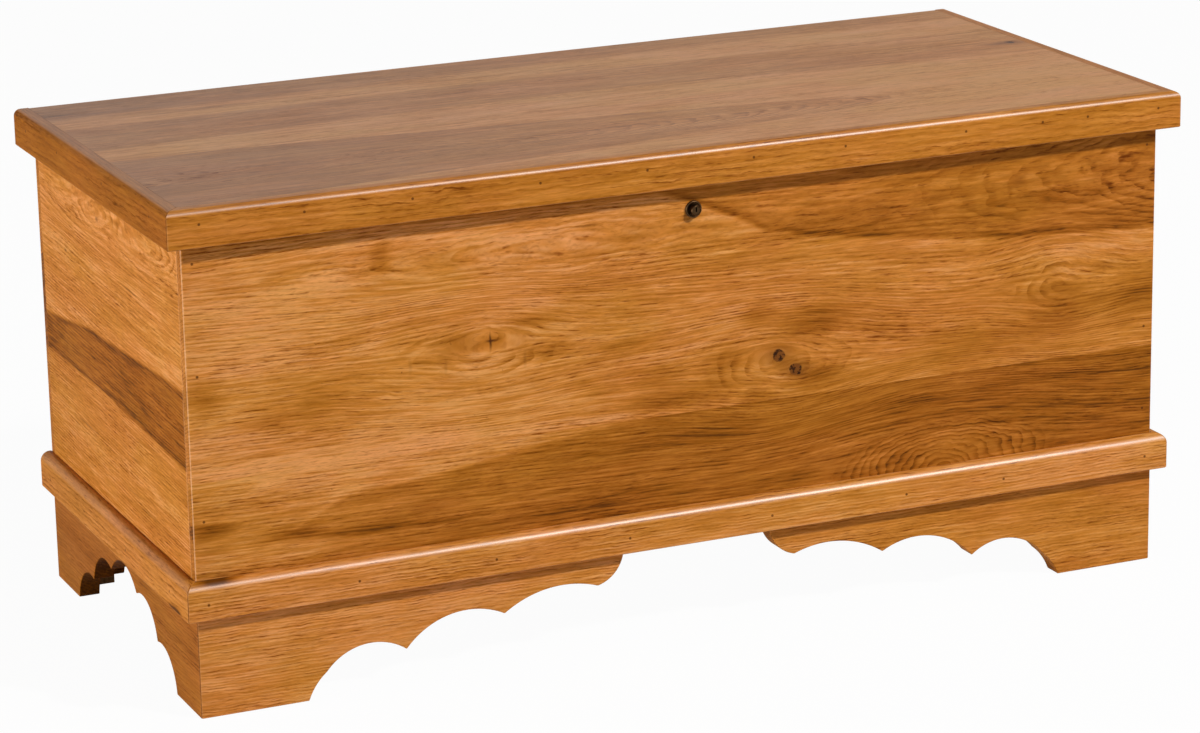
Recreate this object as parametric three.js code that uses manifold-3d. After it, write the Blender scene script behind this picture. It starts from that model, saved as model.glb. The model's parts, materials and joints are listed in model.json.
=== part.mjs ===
// Blanket chest: a nailed hardwood box on scalloped bracket feet, with a banded lid that lifts
// on two friction hinges and a push lock in the front panel.
// Millimetres: +X to the right seen from the front, +Y to the back, +Z up.
// The origin is on the floor, below the middle of the lid.

import * as THREE from "three";
import { mergeVertices } from "three/addons/utils/BufferGeometryUtils.js";
import Module from "manifold-3d";

const wasm = await Module();
wasm.setup();

// Joints between pieces
const glueLine = 0.05;
const fitGap = 0.3;
const mitrePull = 0.15;
const overrun = 2;

// Carcase
const carcaseWidth = 1067;
const carcaseDepth = 478;
const panelHeight = 368.5;
const boardThickness = 22.2;
const lapShare = 0.5;
const cornerEase = 3;
const bottomThickness = 12.7;
const bottomPlay = 0.5;
const cleatWidth = 19;
const cleatHeight = 25.4;

// Feet
const footHeight = 123;
const frontOpening = 164;
const backFootLength = 150;
const blockWidth = 25.4;

// Base moulding
const mouldingHeight = 38.1;
const mouldingProjection = 12.7;
const mouldingRound = 10;
const mouldingDrop = 19.3;

// Lid
const lidThickness = 19;
const lidBackOverhang = 8;
const bandHeight = 38;
const bandThickness = 16;
const bandClearance = 1.6;
const bandRound = 7;
const edgeEase = 1.5;
const bumperDiameter = 10;
const bumperInset = 60;

// Hinges
const hingeLength = 90;
const hingeInset = 190;
const leafThickness = 2;
const leafGap = 0.5;
const boxLeafDrop = 50;
const lidLeafReach = 62;
const knuckleRadius = 3.7;
const knuckleCount = 5;
const pinRadius = 1.8;
const pinHeadRadius = 2.9;
const pinHeadThickness = 1.2;

// Screws
const screwHeadRadius = 3.6;
const screwShankRadius = 1.7;
const screwBiteShare = 0.6;

// Lock: pushing the plunger in sends a bolt through the strike, and the key plug turns in it
const lockDrop = 43.2;
const bezelDiameter = 17.8;
const bezelProud = 2.2;
const bezelRim = 2.4;
const bezelDish = 0.9;
const barrelDiameter = 15.8;
const barrelWall = 1.4;
const lockTail = 1.5;
const endCapThickness = 2.5;
const nutAcross = 22;
const nutThickness = 4;
const plungerDiameter = 10.8;
const plungerProud = 8.5;
const plungerTravel = 7.5;
const plungerEase = 0.8;
const flangeThickness = 3;
const keyPlugDiameter = 8.2;
const keyPlugLength = 15;
const keyPlugRecess = 0.5;
const keySlotWidth = 1.4;
const keySlotHeight = 5;
const keySlotLift = 1.2;
const keySlotDepth = 9;
const boltDiameter = 6;
const boltSocket = 4;
const boltPast = 0.7;
const boltEase = 0.6;
const springWire = 0.8;
const springCurls = 6;
const springRoom = 5;

// Strike
const strikeThickness = 2.5;
const strikeWidth = 24;
const strikeClearance = 0.8;
const strikeBar = 5;
const strikeFlange = 18;
const strikePlay = 0.7;

// Segments in a round
const arcSegments = 10;
const easeSegments = 4;
const knuckleSegments = 24;
const screwSegments = 16;
const lockSegments = 40;
const springSteps = 12;
const springSides = 6;
const nutSides = 6;

// Scallops: where each arc ends, along and up the board, and how far it bulges from its chord.
// A negative bulge rounds outwards.
const FRONT_PAD_SHARE = 0.247;
const FRONT_SCALLOP_SHARES = [
  [0.29, 0.22, 0.07],
  [0.477, 0.301, 0.203],
  [0.711, 0.466, 0.178],
  [0.937, 0.573, 0.121],
  [1, 0.813, -0.15],
];
const SIDE_PAD_SHARE = 0.159;
const SIDE_SCALLOP_SHARES = [
  [0.278, 0.301, 0.228],
  [0.412, 0.553, 0.237],
];
const SIDE_CROWN_SHARE = 0.238;
const BACK_PAD_SHARE = 0.295;
const BACK_ANKLE_SHARES = [0.34, 0.42];
const BACK_TIP_SHARES = [1, 0.85, 0.2];

// A quarter circle's rise above its chord
const QUARTER_SHARE = (Math.SQRT2 - 1) / 2;

// Levels
const rimGap = leafThickness + leafGap;
const rimTop = footHeight + panelHeight;
const lidUnderside = rimTop + rimGap;
const lidTop = lidUnderside + lidThickness;
const mouldingBottom = footHeight - mouldingDrop;
const cleatBottom = footHeight - cleatHeight / 2;
const cleatTop = cleatBottom + cleatHeight;

// Faces
const halfWidth = carcaseWidth / 2;
const lidDepth = bandThickness + glueLine + bandClearance + carcaseDepth + lidBackOverhang;
const frontFace = bandThickness + glueLine + bandClearance - lidDepth / 2;
const backFace = frontFace + carcaseDepth;
const innerHalf = halfWidth - boardThickness;
const innerFront = frontFace + boardThickness;
const innerBack = backFace - boardThickness;
const lidHalf = halfWidth + bandClearance;
const lidFront = frontFace - bandClearance;
const lidBack = backFace + lidBackOverhang;

// The hinge pins' axis runs along X behind the back panel
const hingeAxisY = backFace + knuckleRadius + fitGap;
const hingeAxisZ = lidUnderside - knuckleRadius - fitGap;
const hingeCentres = { left: hingeInset - halfWidth, right: halfWidth - hingeInset };

// The lock's axis runs along Y through the front panel
const lockLevel = rimTop - lockDrop;

const materials = {
  hickory: new THREE.MeshStandardMaterial({ color: 0xbe7d3a, roughness: 0.42, metalness: 0 }),
  poplar: new THREE.MeshStandardMaterial({ color: 0xb79a6b, roughness: 0.75, metalness: 0 }),
  agedBrass: new THREE.MeshStandardMaterial({ color: 0x7a5c33, roughness: 0.4, metalness: 1 }),
  agedBronze: new THREE.MeshStandardMaterial({ color: 0x2c2119, roughness: 0.35, metalness: 1 }),
  steel: new THREE.MeshStandardMaterial({ color: 0x9a9b9d, roughness: 0.35, metalness: 1 }),
  rubber: new THREE.MeshStandardMaterial({ color: 0x2a2623, roughness: 0.85, metalness: 0 }),
};

const chest = new THREE.Group();
chest.name = "blanket_chest";

// Adds a named mesh to a group
function piece(name, geometry, material, place = [0, 0, 0], group = chest) {
  const mesh = new THREE.Mesh(geometry, material);
  mesh.name = name;
  mesh.position.set(...place);
  group.add(mesh);
  return mesh;
}

// A closed geometry as a solid that can be joined and cut
function solidFrom(geometry) {
  const bare = geometry.clone();
  bare.deleteAttribute("normal");
  bare.deleteAttribute("uv");
  const merged = mergeVertices(bare);
  const corners = merged.index.array;
  const kept = [];
  for (let i = 0; i < corners.length; i += 3) {
    const [a, b, c] = [corners[i], corners[i + 1], corners[i + 2]];
    if (a !== b && b !== c && c !== a) kept.push(a, b, c);
  }
  const vertProperties = new Float32Array(merged.attributes.position.array);
  const triVerts = new Uint32Array(kept);
  return new wasm.Manifold(new wasm.Mesh({ numProp: 3, vertProperties, triVerts }));
}

function geometryFrom(solid) {
  const { vertProperties, triVerts } = solid.getMesh();
  const indexed = new THREE.BufferGeometry();
  indexed.setAttribute("position", new THREE.BufferAttribute(vertProperties, 3));
  indexed.setIndex(new THREE.BufferAttribute(triVerts, 1));
  const flat = indexed.toNonIndexed();
  flat.computeVertexNormals();
  return flat;
}

function joined(...geometries) {
  return geometryFrom(geometries.map(solidFrom).reduce((whole, next) => whole.add(next)));
}

function cut(geometry, ...tools) {
  const start = solidFrom(geometry);
  return geometryFrom(tools.map(solidFrom).reduce((whole, tool) => whole.subtract(tool), start));
}

// A block between two levels along each axis
function block([left, right], [front, back], [bottom, top]) {
  const geometry = new THREE.BoxGeometry(right - left, back - front, top - bottom);
  return geometry.translate((left + right) / 2, (front + back) / 2, (bottom + top) / 2);
}

// A round bar from one end to the other
function barAlongY(radius, front, back, segments) {
  const geometry = new THREE.CylinderGeometry(radius, radius, back - front, segments);
  return geometry.translate(0, (front + back) / 2, 0);
}

function barAlongX(radius, left, right, segments) {
  const geometry = new THREE.CylinderGeometry(radius, radius, right - left, segments);
  return geometry.rotateZ(-Math.PI / 2).translate((left + right) / 2, 0, 0);
}

function turned(points, segments) {
  const profile = points.map(([radius, along]) => new THREE.Vector2(radius, along));
  return new THREE.LatheGeometry(profile, segments);
}

// Extrudes an outline whose x runs along `across` and whose y runs up
function extrudedUpright(outline, length, across, segments) {
  const geometry = new THREE.ExtrudeGeometry(outline, {
    depth: length,
    bevelEnabled: false,
    curveSegments: segments,
  });
  const up = new THREE.Vector3(0, 0, 1);
  const run = new THREE.Vector3().crossVectors(across, up);
  return geometry.applyMatrix4(new THREE.Matrix4().makeBasis(across, up, run));
}

// Continues a path to a point by an arc that bulges to the left of its chord by a share of it
function arcTo(path, x, y, bulgeShare) {
  const { x: fromX, y: fromY } = path.currentPoint;
  const chord = Math.hypot(x - fromX, y - fromY);
  const rise = Math.abs(bulgeShare) * chord;
  const radius = (chord * chord) / (8 * rise) + rise / 2;
  const reach = (Math.sign(bulgeShare) * (radius - rise)) / chord;
  const centreX = (x + fromX) / 2 + (y - fromY) * reach;
  const centreY = (y + fromY) / 2 - (x - fromX) * reach;
  const start = Math.atan2(fromY - centreY, fromX - centreX);
  const end = Math.atan2(y - centreY, x - centreX);
  path.absarc(centreX, centreY, radius, start, end, bulgeShare > 0);
}

const toRight = new THREE.Vector3(1, 0, 0);
const toLeft = new THREE.Vector3(-1, 0, 0);
const toBack = new THREE.Vector3(0, 1, 0);
const toFront = new THREE.Vector3(0, -1, 0);
const upwards = new THREE.Vector3(0, 0, 1);

// Screws: each site is the middle of the head's flat and the way into the wood
function screwProfile(allowance) {
  const coneDepth = screwHeadRadius - screwShankRadius;
  return [
    [screwShankRadius + allowance, -coneDepth],
    [screwHeadRadius + allowance, 0],
  ];
}

function screwGeometry(length) {
  const tip = screwShankRadius + screwHeadRadius;
  const shaft = turned(
    [[0, -length], [screwShankRadius, tip - length], ...screwProfile(0), [0, 0]],
    screwSegments,
  );
  const armLength = screwHeadRadius / 2;
  const armWidth = screwHeadRadius / 8;
  const depth = screwHeadRadius / 2;
  const recess = [
    block([-armLength, armLength], [-depth, overrun], [-armWidth, armWidth]),
    block([-armWidth, armWidth], [-depth, overrun], [-armLength, armLength]),
  ];
  return cut(shaft, ...recess);
}

function screwCavity(site, origin) {
  const reach = site.length + fitGap;
  const profile = screwProfile(fitGap);
  const outer = screwHeadRadius + fitGap;
  const cavity = turned(
    [[0, -reach], [screwShankRadius + fitGap, -reach], ...profile, [outer, overrun], [0, overrun]],
    screwSegments,
  );
  cavity.applyQuaternion(facing(site.into));
  return cavity.translate(...site.at.map((value, axis) => value - origin[axis]));
}

// The turn that points a screw, drawn along -Y, into the wood
function facing(into) {
  return new THREE.Quaternion().setFromUnitVectors(toFront, into);
}

function addScrew(name, site, group) {
  const screw = piece(name, screwGeometry(site.length), materials.steel, site.at, group);
  screw.quaternion.copy(facing(site.into));
}

const leafScrewShares = [-1 / 3, 0, 1 / 3];
const boxLeafFace = innerBack - glueLine - leafThickness;
const lidLeafFace = lidUnderside - glueLine - leafThickness;
const lidLeafFront = hingeAxisY - lidLeafReach;
const boxScrewLevel = rimTop - (2 * boxLeafDrop) / 3;
const lidScrewRow = (lidLeafFront + innerBack) / 2;

function hingeScrewSites(centre) {
  const places = leafScrewShares.map((share) => centre + share * hingeLength);
  const box = places.map((x) => ({
    at: [x, boxLeafFace, boxScrewLevel],
    into: toBack,
    length: leafThickness + screwBiteShare * boardThickness,
  }));
  const lid = places.map((x) => ({
    at: [x, lidScrewRow, lidLeafFace],
    into: upwards,
    length: leafThickness + screwBiteShare * lidThickness,
  }));
  return { box, lid };
}

// Where the lock's parts lie along its axis, counted inwards from the front panel's face
const nutStart = boardThickness + glueLine;
const barrelEnd = nutStart + nutThickness + lockTail;
const capStart = barrelEnd + glueLine;
const lockEnd = capStart + endCapThickness;
const plungerRear = barrelEnd - springRoom - plungerTravel;
const flangeFront = plungerRear - flangeThickness;
const keyPlugFace = keyPlugRecess - plungerProud;
const keyPlugRear = keyPlugFace + keyPlugLength;
const bezelRadius = bezelDiameter / 2;
const barrelRadius = barrelDiameter / 2;
const springBore = barrelRadius - barrelWall;
const plungerRadius = plungerDiameter / 2;
const keyPlugRadius = keyPlugDiameter / 2;
const boltRadius = boltDiameter / 2;
const boltBore = boltRadius + fitGap;
const nutRadius = nutAcross / Math.sqrt(3);

// The strike hangs from the lid behind the lock. Opening the lid swings it forward a little
// before it clears the lock, so it hangs that much further back.
const strikeHole = boltRadius + strikePlay;
const strikeTop = lidUnderside - glueLine;
const strikeBottom = lockLevel - strikeHole - strikeBar;
const hingeReach = hingeAxisY - frontFace - lockEnd;
const strikeSwing = Math.hypot(hingeReach, hingeAxisZ - strikeBottom) - hingeReach;
const strikeStart = lockEnd + strikeSwing + strikeClearance;
const strikeFace = frontFace + strikeStart;
const boltEnd = strikeStart + strikeThickness + boltPast - plungerTravel;

const strikeScrewShares = [-1 / 4, 1 / 4];
const strikeScrewSites = strikeScrewShares.map((share) => ({
  at: [share * strikeWidth, strikeFace + strikeThickness + strikeFlange / 2, strikeTop - strikeThickness],
  into: upwards,
  length: strikeThickness + screwBiteShare * lidThickness,
}));

// Front and back panels: their ends lap the side panels, and their outer corners are eased
function lappedPanel(inwards) {
  const quarter = -inwards * QUARTER_SHARE;
  const shoulder = innerHalf - glueLine;
  const lap = inwards * (lapShare * boardThickness - glueLine);
  const inner = inwards * boardThickness;
  const outline = new THREE.Shape();
  outline.moveTo(-halfWidth, lap);
  outline.lineTo(-halfWidth, inwards * cornerEase);
  arcTo(outline, cornerEase - halfWidth, 0, quarter);
  outline.lineTo(halfWidth - cornerEase, 0);
  arcTo(outline, halfWidth, inwards * cornerEase, quarter);
  outline.lineTo(halfWidth, lap);
  outline.lineTo(shoulder, lap);
  outline.lineTo(shoulder, inner);
  outline.lineTo(-shoulder, inner);
  outline.lineTo(-shoulder, lap);
  return new THREE.ExtrudeGeometry(outline, {
    depth: panelHeight - glueLine,
    bevelEnabled: false,
    curveSegments: easeSegments,
  });
}

function buildPanels() {
  const panelBase = footHeight + glueLine;
  const frontPlace = [0, frontFace, panelBase];
  const lockHole = barAlongY(barrelRadius + fitGap, -overrun, boardThickness + overrun, lockSegments);
  lockHole.translate(0, 0, lockLevel - panelBase);
  piece("front_panel", cut(lappedPanel(1), lockHole), materials.hickory, frontPlace);

  const backPlace = [0, backFace, panelBase];
  const cuts = [];
  for (const centre of Object.values(hingeCentres)) {
    const half = hingeLength / 2 + fitGap;
    const bed = rimTop - leafThickness - glueLine;
    const depth = [innerBack - overrun, backFace + overrun];
    const mortise = block([centre - half, centre + half], depth, [bed, rimTop + overrun]);
    mortise.translate(...backPlace.map((value) => -value));
    cuts.push(mortise, ...hingeScrewSites(centre).box.map((site) => screwCavity(site, backPlace)));
  }
  piece("back_panel", cut(lappedPanel(-1), ...cuts), materials.hickory, backPlace);

  const lap = lapShare * boardThickness;
  const depth = carcaseDepth - 2 * lap;
  const height = panelHeight - glueLine;
  for (const [name, side] of [["side_panel_left", -1], ["side_panel_right", 1]]) {
    const middleX = side * (innerHalf + boardThickness / 2);
    const middle = [middleX, (frontFace + backFace) / 2, panelBase + height / 2];
    piece(name, new THREE.BoxGeometry(boardThickness, depth, height), materials.hickory, middle);
  }
}

function buildFloor() {
  const level = [cleatBottom, cleatTop];
  const acrossX = innerHalf - glueLine;
  const frontSpan = [innerFront + glueLine, innerFront + glueLine + cleatWidth];
  const backSpan = [innerBack - glueLine - cleatWidth, innerBack - glueLine];
  const betweenY = [frontSpan[1] + glueLine, backSpan[0] - glueLine];
  piece("cleat_front", block([-acrossX, acrossX], frontSpan, level), materials.poplar);
  piece("cleat_back", block([-acrossX, acrossX], backSpan, level), materials.poplar);
  piece("cleat_left", block([-acrossX, cleatWidth - acrossX], betweenY, level), materials.poplar);
  piece("cleat_right", block([acrossX - cleatWidth, acrossX], betweenY, level), materials.poplar);

  const halfX = innerHalf - bottomPlay;
  const spanY = [innerFront + bottomPlay, innerBack - bottomPlay];
  const bottom = cleatTop + glueLine;
  piece("bottom_panel", block([-halfX, halfX], spanY, [bottom, bottom + bottomThickness]), materials.poplar);
}

// Mitres a foot board where its face meets the chest's front corner, at x = 0 of the outline.
// The board's outer face is at the start of the extrusion, or else at its end.
function mitreCorner(geometry, outerFirst) {
  const corners = geometry.attributes.position;
  for (let i = 0; i < corners.count; i++) {
    if (corners.getX(i) !== 0) continue;
    const depth = outerFirst ? corners.getZ(i) : boardThickness - corners.getZ(i);
    corners.setX(i, depth + mitrePull);
  }
  geometry.computeVertexNormals();
  return geometry;
}

function footBoard(outline) {
  return new THREE.ExtrudeGeometry(outline, {
    depth: boardThickness,
    bevelEnabled: false,
    curveSegments: arcSegments,
  });
}

function stood(geometry, across) {
  const run = new THREE.Vector3().crossVectors(across, upwards);
  return geometry.applyMatrix4(new THREE.Matrix4().makeBasis(across, upwards, run));
}

function frontFootOutline() {
  const length = halfWidth - frontOpening / 2;
  const outline = new THREE.Shape();
  outline.moveTo(0, 0);
  outline.lineTo(FRONT_PAD_SHARE * length, 0);
  for (const [along, up, bulge] of FRONT_SCALLOP_SHARES) {
    arcTo(outline, along * length, up * footHeight, bulge);
  }
  outline.lineTo(length, footHeight);
  outline.lineTo(0, footHeight);
  return outline;
}

function sideApronOutline() {
  const length = carcaseDepth;
  const rising = [[SIDE_PAD_SHARE, 0], ...SIDE_SCALLOP_SHARES];
  const outline = new THREE.Shape();
  outline.moveTo(0, 0);
  outline.lineTo(SIDE_PAD_SHARE * length, 0);
  for (const [along, up, bulge] of SIDE_SCALLOP_SHARES) {
    arcTo(outline, along * length, up * footHeight, bulge);
  }
  const [crownStart, crownLevel] = rising[rising.length - 1];
  arcTo(outline, (1 - crownStart) * length, crownLevel * footHeight, SIDE_CROWN_SHARE);
  for (let i = rising.length - 2; i >= 0; i--) {
    const [along, up] = rising[i];
    arcTo(outline, (1 - along) * length, up * footHeight, rising[i + 1][2]);
  }
  outline.lineTo(length, 0);
  outline.lineTo(length, footHeight);
  outline.lineTo(0, footHeight);
  return outline;
}

function backFootOutline() {
  const [tipAlong, tipUp, bulge] = BACK_TIP_SHARES;
  const outline = new THREE.Shape();
  outline.moveTo(0, 0);
  outline.lineTo(BACK_PAD_SHARE * backFootLength, 0);
  outline.lineTo(BACK_ANKLE_SHARES[0] * backFootLength, BACK_ANKLE_SHARES[1] * footHeight);
  arcTo(outline, tipAlong * backFootLength, tipUp * footHeight, bulge);
  outline.lineTo(backFootLength, footHeight);
  outline.lineTo(0, footHeight);
  return outline;
}

function buildFeet() {
  const front = frontFootOutline();
  const leftFoot = stood(mitreCorner(footBoard(front), false), toRight);
  const rightFoot = stood(mitreCorner(footBoard(front), true), toLeft);
  piece("front_foot_left", leftFoot, materials.hickory, [-halfWidth, innerFront, 0]);
  piece("front_foot_right", rightFoot, materials.hickory, [halfWidth, frontFace, 0]);

  const side = sideApronOutline();
  const leftApron = stood(mitreCorner(footBoard(side), true), toBack);
  const rightApron = stood(mitreCorner(footBoard(side), false), toBack);
  piece("side_apron_left", leftApron, materials.hickory, [-halfWidth, frontFace, 0]);
  piece("side_apron_right", rightApron, materials.hickory, [innerHalf, frontFace, 0]);

  const back = backFootOutline();
  const reach = innerHalf - glueLine;
  piece("back_foot_left", stood(footBoard(back), toRight), materials.hickory, [-reach, backFace, 0]);
  piece("back_foot_right", stood(footBoard(back), toLeft), materials.hickory, [reach, innerBack, 0]);

  const half = blockWidth / 2 + glueLine;
  const height = cleatBottom - glueLine;
  for (const [end, y] of [["front", innerFront + half], ["back", innerBack - half]]) {
    for (const [hand, x] of [["left", half - innerHalf], ["right", innerHalf - half]]) {
      const glueBlock = new THREE.BoxGeometry(blockWidth, blockWidth, height);
      piece(`corner_block_${end}_${hand}`, glueBlock, materials.poplar, [x, y, height / 2]);
    }
  }
}

// A strip's section: x is how far it stands out, y is up
function stripSection(thickness, height, round) {
  const section = new THREE.Shape();
  section.moveTo(0, 0);
  section.lineTo(thickness - edgeEase, 0);
  arcTo(section, thickness, edgeEase, -QUARTER_SHARE);
  section.lineTo(thickness, height - round);
  arcTo(section, thickness - round, height, -QUARTER_SHARE);
  section.lineTo(0, height);
  return section;
}

// A strip of that section, with either end mitred outwards
function strip(section, length, mitredStart, mitredEnd) {
  const geometry = new THREE.ExtrudeGeometry(section, {
    depth: length,
    bevelEnabled: false,
    curveSegments: easeSegments,
  });
  const corners = geometry.attributes.position;
  for (let i = 0; i < corners.count; i++) {
    const out = corners.getX(i) - mitrePull;
    if (corners.getZ(i) === 0 && mitredStart) corners.setZ(i, -out);
    else if (corners.getZ(i) !== 0 && mitredEnd) corners.setZ(i, length + out);
  }
  geometry.computeVertexNormals();
  return geometry;
}

// Three strips round the front and the sides of a box, flush at its back
function buildBorder(names, section, half, front, back, level) {
  const [frontName, leftName, rightName] = names;
  const depth = back - front;
  const frontStrip = stood(strip(section, 2 * half, true, true), toFront);
  const leftStrip = stood(strip(section, depth, true, false), toLeft);
  const rightStrip = stood(strip(section, depth, false, true), toRight);
  piece(frontName, frontStrip, materials.hickory, [half, front - glueLine, level]);
  piece(leftName, leftStrip, materials.hickory, [-half - glueLine, front, level]);
  piece(rightName, rightStrip, materials.hickory, [half + glueLine, back, level]);
}

function buildBaseMoulding() {
  const names = ["base_moulding_front", "base_moulding_left", "base_moulding_right"];
  const section = stripSection(mouldingProjection, mouldingHeight, mouldingRound);
  buildBorder(names, section, halfWidth, frontFace, backFace, mouldingBottom);
}

function buildLid() {
  const section = new THREE.Shape();
  section.moveTo(0, 0);
  section.lineTo(lidBack - lidFront - edgeEase, 0);
  arcTo(section, lidBack - lidFront, edgeEase, -QUARTER_SHARE);
  section.lineTo(lidBack - lidFront, lidThickness - cornerEase);
  arcTo(section, lidBack - lidFront - cornerEase, lidThickness, -QUARTER_SHARE);
  section.lineTo(0, lidThickness);
  const place = [-lidHalf, lidFront, lidUnderside];
  const sites = Object.values(hingeCentres).flatMap((centre) => hingeScrewSites(centre).lid);
  const cavities = [...sites, ...strikeScrewSites].map((site) => screwCavity(site, place));
  const panel = cut(extrudedUpright(section, 2 * lidHalf, toBack, easeSegments), ...cavities);
  piece("lid_panel", panel, materials.hickory, place);

  const names = ["lid_band_front", "lid_band_left", "lid_band_right"];
  const bandSection = stripSection(bandThickness, bandHeight, bandRound);
  buildBorder(names, bandSection, lidHalf, lidFront, lidBack, lidTop - bandHeight);
}

function buildBumpers() {
  const radius = bumperDiameter / 2;
  const height = rimGap - 2 * glueLine;
  for (const [name, side] of [["bumper_left", -1], ["bumper_right", 1]]) {
    const disc = new THREE.CylinderGeometry(radius, radius, height, knuckleSegments).rotateX(Math.PI / 2);
    const place = [side * (halfWidth - bumperInset), (frontFace + innerFront) / 2, rimTop + rimGap / 2];
    piece(name, disc, materials.rubber, place);
  }
}

// The knuckles that one leaf carries: every second one, from the first or the second
function knuckles(first, tabBottom, tabTop, tabEdge) {
  const pitch = hingeLength / knuckleCount;
  const shapes = [];
  for (let i = first; i < knuckleCount; i += 2) {
    const left = i * pitch - hingeLength / 2 + fitGap / 2;
    const right = left + pitch - fitGap;
    shapes.push(barAlongX(knuckleRadius, left, right, knuckleSegments));
    shapes.push(block([left, right], [tabEdge - leafThickness, 0], [tabBottom, tabTop]));
  }
  return shapes;
}

// A hinge is drawn about its own pin, at the middle of its length
function buildHinge(hand, centre) {
  const origin = [centre, hingeAxisY, hingeAxisZ];
  const hinge = new THREE.Group();
  hinge.position.set(...origin);
  chest.add(hinge);

  const halfLength = hingeLength / 2;
  const spanX = [-halfLength, halfLength];
  const rim = rimTop - hingeAxisZ;
  const edge = backFace - hingeAxisY;
  const boxFace = boxLeafFace - hingeAxisY;
  const pinHole = barAlongX(pinRadius + fitGap, -hingeLength, hingeLength, knuckleSegments);
  const { box, lid } = hingeScrewSites(centre);

  const boxShape = joined(
    block(spanX, [boxFace, edge], [rim - leafThickness, rim]),
    block(spanX, [boxFace, boxFace + leafThickness], [rim - boxLeafDrop, rim]),
    ...knuckles(0, rim - leafThickness, rim, edge),
  );
  const boxCuts = box.map((site) => screwCavity(site, origin));
  piece(`hinge_box_leaf_${hand}`, cut(boxShape, pinHole, ...boxCuts), materials.agedBrass, [0, 0, 0], hinge);

  const leafLow = lidLeafFace - hingeAxisZ;
  const lidShape = joined(
    block(spanX, [-lidLeafReach, edge], [leafLow, leafLow + leafThickness]),
    ...knuckles(1, leafLow, leafLow + leafThickness, edge),
  );
  const lidCuts = lid.map((site) => screwCavity(site, origin));
  piece(`hinge_lid_leaf_${hand}`, cut(lidShape, pinHole, ...lidCuts), materials.agedBrass, [0, 0, 0], hinge);

  const pinEnd = halfLength + fitGap;
  const headEnd = pinEnd + pinHeadThickness;
  const pin = turned(
    [
      [0, -headEnd],
      [pinHeadRadius, -headEnd],
      [pinHeadRadius, -pinEnd],
      [pinRadius, -pinEnd],
      [pinRadius, pinEnd],
      [pinHeadRadius, pinEnd],
      [pinHeadRadius, headEnd],
      [0, headEnd],
    ],
    screwSegments,
  );
  const pinMesh = piece(`hinge_pin_${hand}`, geometryFrom(solidFrom(pin)), materials.agedBrass, [0, 0, 0], hinge);
  pinMesh.rotation.z = Math.PI / 2;

  box.forEach((site, i) => addScrew(`hinge_box_screw_${hand}_${i + 1}`, site, chest));
  lid.forEach((site, i) => addScrew(`hinge_lid_screw_${hand}_${i + 1}`, site, chest));
}

// A ring or a disc turned about Y, from a profile of radii and places along Y
function turnedPiece(name, profile, material, group, closed) {
  const outline = closed ? [...profile, profile[0]] : profile;
  const geometry = geometryFrom(solidFrom(turned(outline, lockSegments)));
  return piece(name, geometry, material, [0, 0, 0], group);
}

// The spring's wire winds round Y
class Winding extends THREE.Curve {
  constructor(radius, start, end, curls) {
    super();
    Object.assign(this, { radius, start, end, curls });
  }

  getPoint(share, target = new THREE.Vector3()) {
    const angle = 2 * Math.PI * this.curls * share;
    const along = this.start + share * (this.end - this.start);
    return target.set(this.radius * Math.cos(angle), along, this.radius * Math.sin(angle));
  }
}

function springGeometry() {
  const wireRadius = springWire / 2;
  const inset = wireRadius + fitGap;
  const coilRadius = (boltRadius + springBore) / 2;
  const wire = new THREE.Shape();
  wire.absarc(0, 0, wireRadius, 0, 2 * Math.PI, false);
  return new THREE.ExtrudeGeometry(wire, {
    extrudePath: new Winding(coilRadius, plungerRear + inset, barrelEnd - inset, springCurls),
    steps: springCurls * springSteps,
    curveSegments: springSides,
  });
}

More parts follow.
